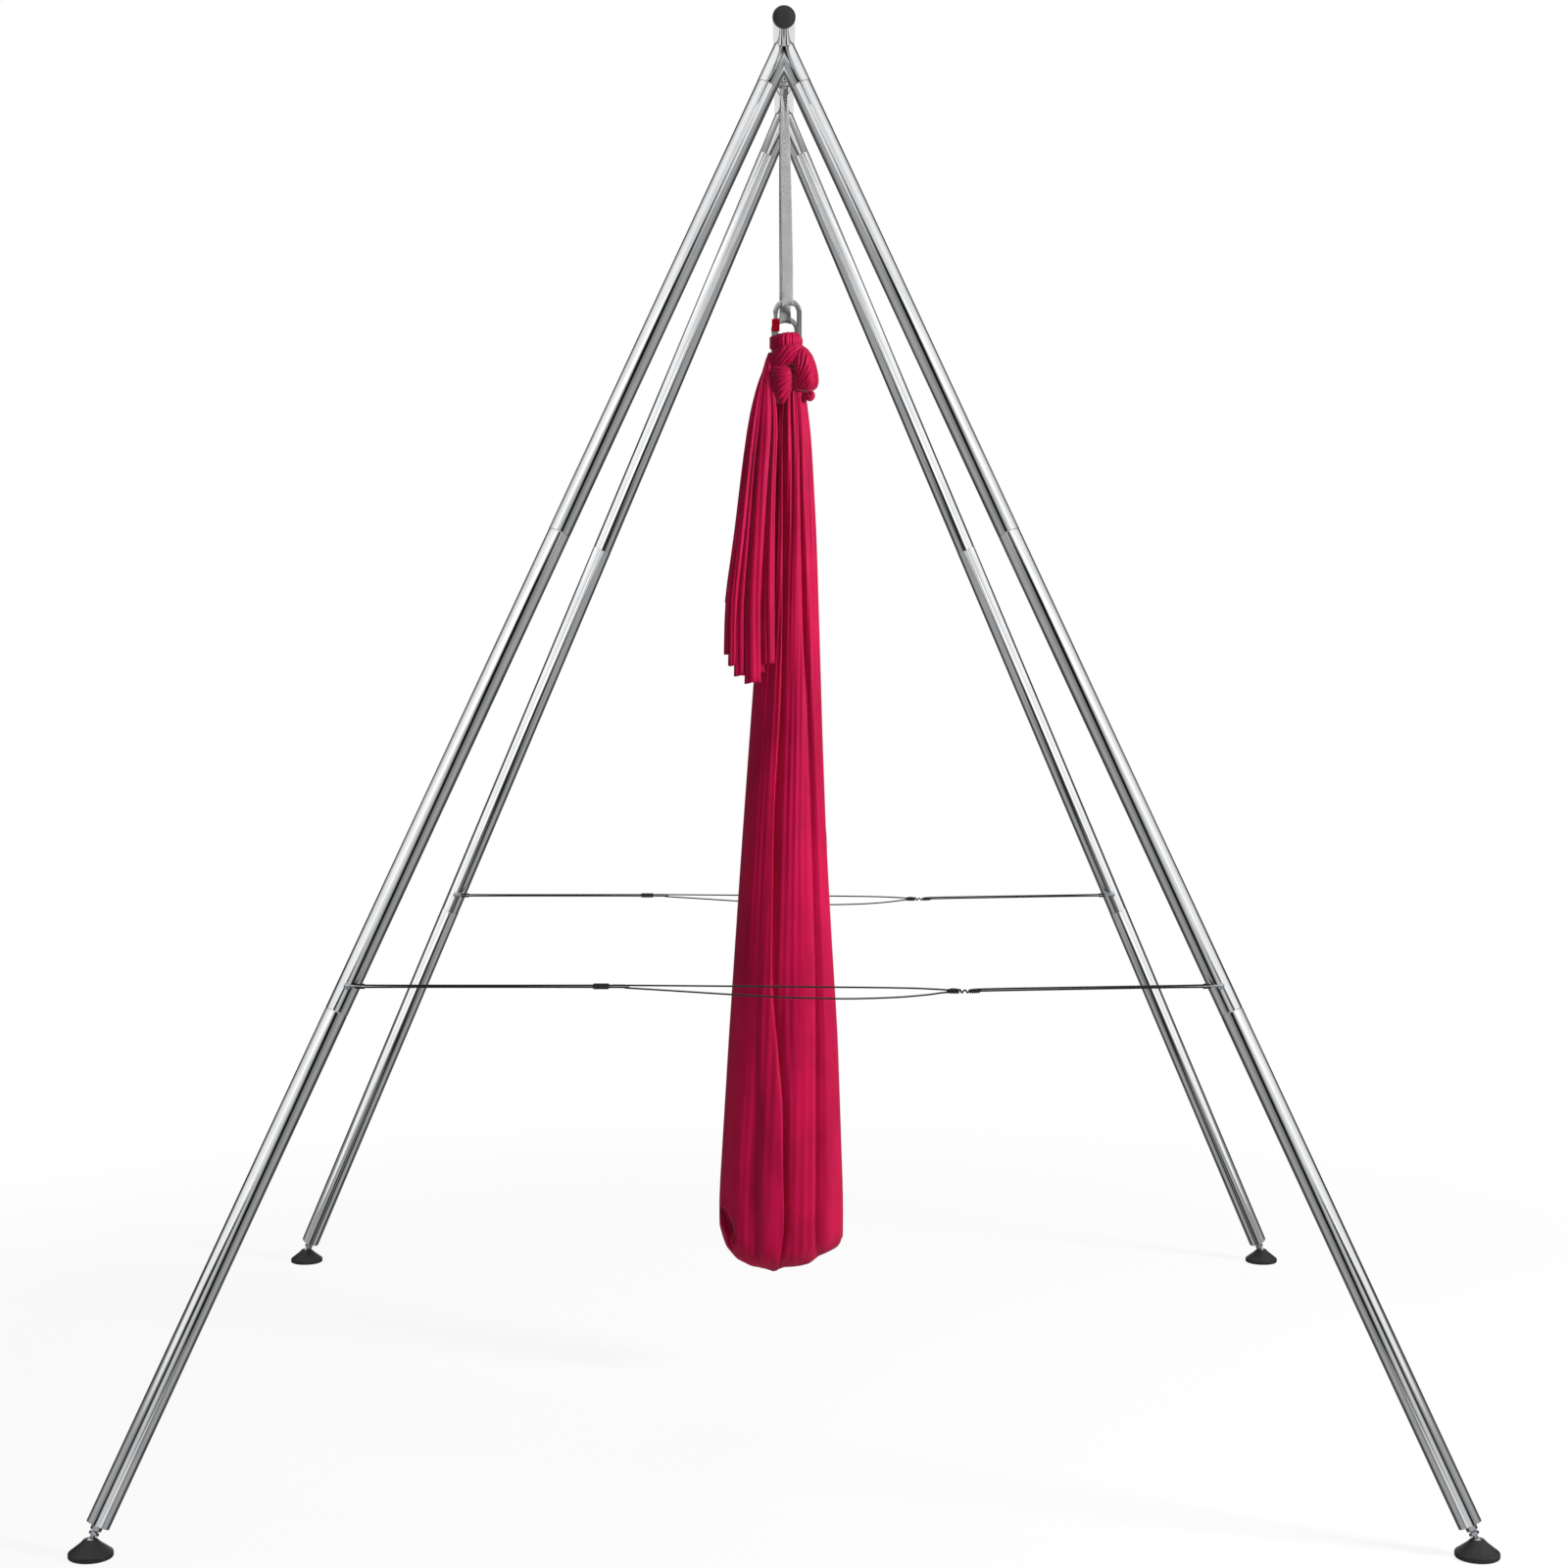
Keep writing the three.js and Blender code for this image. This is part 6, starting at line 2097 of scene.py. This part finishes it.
@dataclass
class Studio:
    """The camera at the photograph's angle, a pale floor, soft lamps and the world they stand in.

    Lengths are in metres. The cards are the bands of grey that the metal mirrors, from the floor up: lowest
    elevation in degrees, slant, and stops of degrees from the front to the rear and the grey that chrome
    shows there, which mirrors the chrome share of the light. The ambient tone lights all else.
    """

    lens: float = 63.36
    height: float = 1.7394
    distance: float = 6.1276
    pitch: float = 0.0632
    target: Vector = field(default_factory=lambda: Vector((0, 0, 1.4)))
    floor_radius: float = 30
    floor_level: float = -0.0005
    shadow_reach: tuple[float, float] = (1.9, 3.4)
    band_blend: float = 2
    chrome_share: float = 0.88
    ambient: float = 0.15
    cards: Sequence[tuple[float, float, Sequence[tuple[float, int]]]] = (
        (-90, 0, (
            (0, 150), (5, 110), (8, 10), (21, 10), (27, 90), (43, 125), (62, 148), (85, 160),
            (104, 130), (118, 70), (150, 60), (165, 95), (180, 95),
        )),
        (-42, 0, (
            (0, 10), (8, 10), (12, 95), (16, 125), (30, 165), (44, 150), (62, 150), (85, 160),
            (104, 130), (118, 70), (150, 60), (165, 95), (180, 95),
        )),
        (-27, 0, (
            (0, 200), (20, 222), (32, 228), (37, 190), (43, 110), (55, 135), (81, 161), (100, 130),
            (114, 75), (132, 45), (155, 60), (165, 200), (180, 200),
        )),
        (-13, 0.41, (
            (0, 205), (8, 190), (14, 160), (19, 130), (21, 80), (24, 8), (33, 8), (36, 70), (39, 120),
            (50, 135), (60, 148), (72, 160), (95, 160), (110, 110), (122, 75), (135, 45), (155, 45),
            (163, 216), (180, 216),
        )),
        (17, 0.41, (
            (0, 200), (8, 190), (14, 165), (18, 110), (20, 8), (36, 8), (39, 90), (43, 110), (50, 200),
            (60, 238), (90, 238), (110, 205), (132, 150), (144, 60), (163, 50), (172, 200), (180, 200),
        )),
        (33, 0, (
            (0, 212), (10, 215), (20, 226), (35, 240), (80, 238), (100, 214), (122, 190), (133, 70),
            (155, 50), (165, 160), (180, 150),
        )),
    )

    def build(self, cloth: Sequence[Object], legs: dict[tuple[End, Side], Sequence[Object]]) -> None:
        """Set up floor, lamps and world.

        Args:
            cloth: The satin pieces, which alone mirror the key light.
            legs: The tubes of each leg: the rear ones mirror the cards at the rig's sides, the front ones
                those beside the camera.
        """
        self.floor()
        key = (62, 22, 5.2, 1.2, 330)
        self.lamp("key softbox", *key)
        self.lamp("fill softbox", -45, 10, 6.0, 3.0, 12)
        self.lamp("top softbox", 15, 78, 5.0, 3.0, 30)
        self.lamp("rear softbox", 165, 35, 6.0, 3.0, 60)
        self.light_only(self.mirrored_lamp("key softbox's gloss on satin", *key), cloth)
        for side in Side:
            self.light_only(self.side_card(side), legs[End.REAR, side])
            outer = self.mirrored_lamp("card beside the camera", side.value * 27, 28, 8.0, 4.3, 46)
            self.light_only(outer, legs[End.FRONT, side])
        self.world()
        bpy.context.scene.view_settings.view_transform = "Standard"

    def light_only(self, lamp: Object, pieces: Sequence[Object]) -> None:
        """Let a lamp reach these pieces alone."""
        lit = bpy.data.collections.new(f"lit by {lamp.name}")
        for piece in pieces:
            lit.objects.link(piece)
        lamp.light_linking.receiver_collection = lit

    def mirrored_lamp(self, *where: object) -> Object:
        """Hang a softbox that only shows as a reflection, with what lamp() is told."""
        lamp = self.lamp(*where)
        lamp.visible_glossy, lamp.visible_diffuse = True, False
        return lamp

    def side_card(self, side: Side) -> Object:
        """Stand a white card beside the rig, which only shows as a reflection."""
        data = bpy.data.lights.new("side card", "AREA")
        data.shape = "RECTANGLE"
        data.size, data.size_y = 4.6, 3.2
        data.energy = 31.0
        card = bpy.data.objects.new("side card", data)
        card.location = (side.value * 1.7, -1.3, 1.6)
        inwards = Matrix(((0, side.value, 0), (0, 0, 1), (side.value, 0, 0))).transposed()
        card.rotation_euler = inwards.to_euler()
        card.visible_diffuse = card.visible_camera = False
        bpy.context.collection.objects.link(card)
        return card

    def camera(self) -> None:
        """Stand the camera where the photograph was taken."""
        data = bpy.data.cameras.new("photograph")
        data.lens = self.lens
        data.sensor_width = 36
        data.sensor_fit = "HORIZONTAL"
        camera = bpy.data.objects.new("photograph", data)
        camera.location = (0, -self.distance, self.height)
        camera.rotation_euler = (math.pi / 2 - self.pitch, 0, 0)
        bpy.context.collection.objects.link(camera)
        bpy.context.scene.camera = camera

    def floor(self) -> None:
        """Lay a white floor that keeps a faint shadow near the rig and melts into the background."""
        deselect_all()
        bpy.ops.mesh.primitive_circle_add(
            vertices=96, radius=self.floor_radius, fill_type="NGON", location=(0, 0, self.floor_level)
        )
        floor = bpy.context.object
        floor.name = "studio_floor"
        material, tree = new_material("white studio floor")
        place = add_node(tree, "TexCoord")
        far = add_node(tree, "VectorMath", {0: place.outputs["Object"]}, operation="LENGTH")
        shadow = remap(tree, far.outputs["Value"], self.shadow_reach, (0.1, 0.0))
        lit = add_node(tree, "BsdfDiffuse", {"Color": linear("#f2f2f2")})
        glow = add_node(tree, "Emission", {"Color": linear("#ffffff"), "Strength": 1.0})
        seen = add_node(tree, "MixShader", {0: shadow, 1: glow.outputs[0], 2: lit.outputs[0]})
        path = add_node(tree, "LightPath").outputs
        direct = maths(tree, "MAXIMUM", path["Is Camera Ray"], path["Is Transmission Ray"])
        shade_end(tree, add_node(tree, "MixShader", {0: direct, 1: lit.outputs[0], 2: seen.outputs[0]}))
        floor.data.materials.append(material)
        floor.visible_glossy = False

    def lamp(
        self, name: str, azimuth: float, elevation: float, far: float, size: float, power: float
    ) -> Object:
        """Hang a square softbox that looks at the cloth.

        Args:
            name: Its name.
            azimuth: Degrees to the right of the camera's direction.
            elevation: Degrees above the target.
            far: Distance in metres.
            size: Side in metres.
            power: Power in watts.

        Returns:
            The lamp.
        """
        data = bpy.data.lights.new(name, "AREA")
        data.shape = "SQUARE"
        data.size = size
        data.energy = power
        lamp = bpy.data.objects.new(name, data)
        a, e = math.radians(azimuth), math.radians(elevation)
        away = Vector((math.sin(a) * math.cos(e), -math.cos(a) * math.cos(e), math.sin(e)))
        lamp.location = self.target + away * far
        lamp.rotation_euler = away.to_track_quat("Z", "Y").to_euler()
        lamp.visible_glossy = False
        bpy.context.collection.objects.link(lamp)
        return lamp

    def world(self) -> None:
        """Surround the rig with white to the camera, soft light to the cloth, and cards to the metal."""
        world = bpy.data.worlds.new("photo studio")
        bpy.context.scene.world = world
        world.use_nodes = True
        tree = world.node_tree
        tree.nodes.clear()
        place = add_node(tree, "TexCoord").outputs["Generated"]
        split = add_node(tree, "SeparateXYZ", {0: place}).outputs
        aside, ahead = maths(tree, "ABSOLUTE", split[0]), maths(tree, "MULTIPLY", split[1], -1.0)
        around = maths(tree, "DIVIDE", maths(tree, "ARCTAN2", aside, ahead), math.pi)
        height = maths(tree, "ARCSINE", split[2])
        tone = 0.0
        for low, slant, stops in self.cards:
            leaning = maths(tree, "ADD", around, maths(tree, "MULTIPLY", height, slant / math.pi))
            greys = [(place / 180, linear(f"#{shown:02x}{shown:02x}{shown:02x}")) for place, shown in stops]
            grey = ramp(tree, leaning, greys)
            start, stop = math.radians(low - self.band_blend), math.radians(low + self.band_blend)
            band = {0: height, 1: start, 2: stop}
            share = add_node(tree, "MapRange", band, interpolation_type="SMOOTHSTEP").outputs[0]
            tone = add_node(tree, "Mix", {0: share, 2: tone, 3: grey}, data_type="FLOAT").outputs[0]
        tone = maths(tree, "MULTIPLY", tone, 1 / self.chrome_share)
        path = add_node(tree, "LightPath").outputs
        first = maths(tree, "LESS_THAN", path["Diffuse Depth"], 0.5)
        mirrored = maths(tree, "MULTIPLY", path["Is Glossy Ray"], first)
        mirror = add_node(tree, "Mix", {0: mirrored, 2: self.ambient, 3: tone}, data_type="FLOAT").outputs[0]
        seen = add_node(tree, "Mix", {0: path["Is Camera Ray"], 2: mirror, 3: 1.0}, data_type="FLOAT")
        light = add_node(tree, "Background", {"Color": linear("#ffffff"), "Strength": seen.outputs[0]})
        add_node(tree, "OutputWorld", {"Surface": light.outputs[0]})


@dataclass
class Finishes:
    """Every finish of the rig, built once."""

    # Chrome over buffed steel tube mirrors the studio, with faint smears from handling
    chrome: Finish = MetalFinish(
        "chrome plate on buffed steel tube", "#f1f2f3", "#e6e8ea", (0.05, 0.1), 0.5, 0.02
    )
    # Zinc plate is bright but softer than chrome, with a fine crystalline grain
    zinc: Finish = MetalFinish(
        "bright zinc plate on turned steel", "#dfe2e6", "#b9bec4", (0.16, 0.3), 0.6, 0.12
    )
    # Forged and tumbled steel shows small ripples and rubbed marks
    forged: Finish = MetalFinish("tumbled and polished steel", "#d8dbde", "#a2a6ab", (0.08, 0.2), 1.2, 0.18)
    # Dyed anodising over knurled aluminium sparkles on each edge
    anodised: Finish = MetalFinish(
        "red anodised aluminium, knurled", "#f01c38", "#c40f28", (0.24, 0.38), 0.5, 0.1
    )
    # Moulded polypropylene with a spark-eroded grain reads as an even, dull grey
    cap: Finish = MouldedFinish(
        "moulded grey polypropylene", "#383838", "#303030", (0.5, 0.62), 0.7, 0.15, 0.4
    )
    # Moulded acetal is black and a little glossier than the cord beside it
    slider: Finish = MouldedFinish("moulded black acetal", "#242424", "#171717", (0.34, 0.5), 0.6, 0.12, 0.5)
    # Moulded rubber is near black with a dusty bloom and a broad soft gloss
    rubber: Finish = MouldedFinish("moulded black rubber", "#2b2b2b", "#1c1c1c", (0.42, 0.6), 0.8, 0.12, 0.5)
    # Braided polyester over rubber strands shows a slanting diamond braid
    cord: Finish = WovenFinish(
        "black braided elastic cord", "#1f1e1d", "#0b0b0a", (1.5, 1.5), 0.785, 0.62, 0.7, 0.2
    )
    # Tight flat-woven polyester webbing shows fine ribs across its width
    webbing: Finish = WovenFinish(
        "grey woven polyester webbing", "#b8b8b8", "#989898", (1.7, 1.1), 0.0, 0.72, 0.5, 0.15
    )
    # Bonded sewing thread is a shade lighter than the webbing it closes
    thread: Finish = WovenFinish(
        "light grey bonded thread", "#cfcfcf", "#b4b4b4", (0.8, 0.8), 0.6, 0.6, 0.3, 0.1
    )
    # Warp-knit nylon is smooth and lustrous, deep in the folds and pink where light rakes it
    cloth: Finish = SatinKnitFinish()


def dress_nodes(names: Sequence[str], material: Material, nodes: dict[str, Object]) -> None:
    """Give carried-over CAD nodes a finish."""
    for name in names:
        nodes[name].data.materials.clear()
        nodes[name].data.materials.append(material)
        log.info("node %s keeps its CAD mesh", name)


def main() -> None:
    """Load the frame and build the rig's pieces in order."""
    logging.basicConfig(level=logging.INFO, format="%(message)s")
    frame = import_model()
    studio = Studio()
    studio.camera()
    finishes = Finishes()
    zinc, webbing, cloth = finishes.zinc.build(), finishes.webbing.build(), finishes.cloth.build()
    Tethers(zinc, finishes.cord.build(), finishes.slider.build()).build()
    TubeFrame(finishes.chrome.build(), finishes.cap.build()).build()
    LevellingFeet(zinc, finishes.rubber.build()).build()
    WebbingSling(webbing, finishes.thread.build()).build()
    ScrewGateCarabiners(finishes.forged.build(), finishes.anodised.build()).build()
    satin = [HammockKnot(cloth).build(), *HammockCloth(cloth).build()]
    dress_nodes([f"tether_nut_{corner_name(end, side)}" for end, side in CORNERS], zinc, frame["nodes"])
    legs = {
        (end, side): [piece for piece in bpy.data.objects if f"_tube_{corner_name(end, side)}" in piece.name]
        for end, side in CORNERS
    }
    for piece in satin:
        piece.visible_glossy = False
    studio.build(satin, legs)
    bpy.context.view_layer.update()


if __name__ == "__main__":
    main()
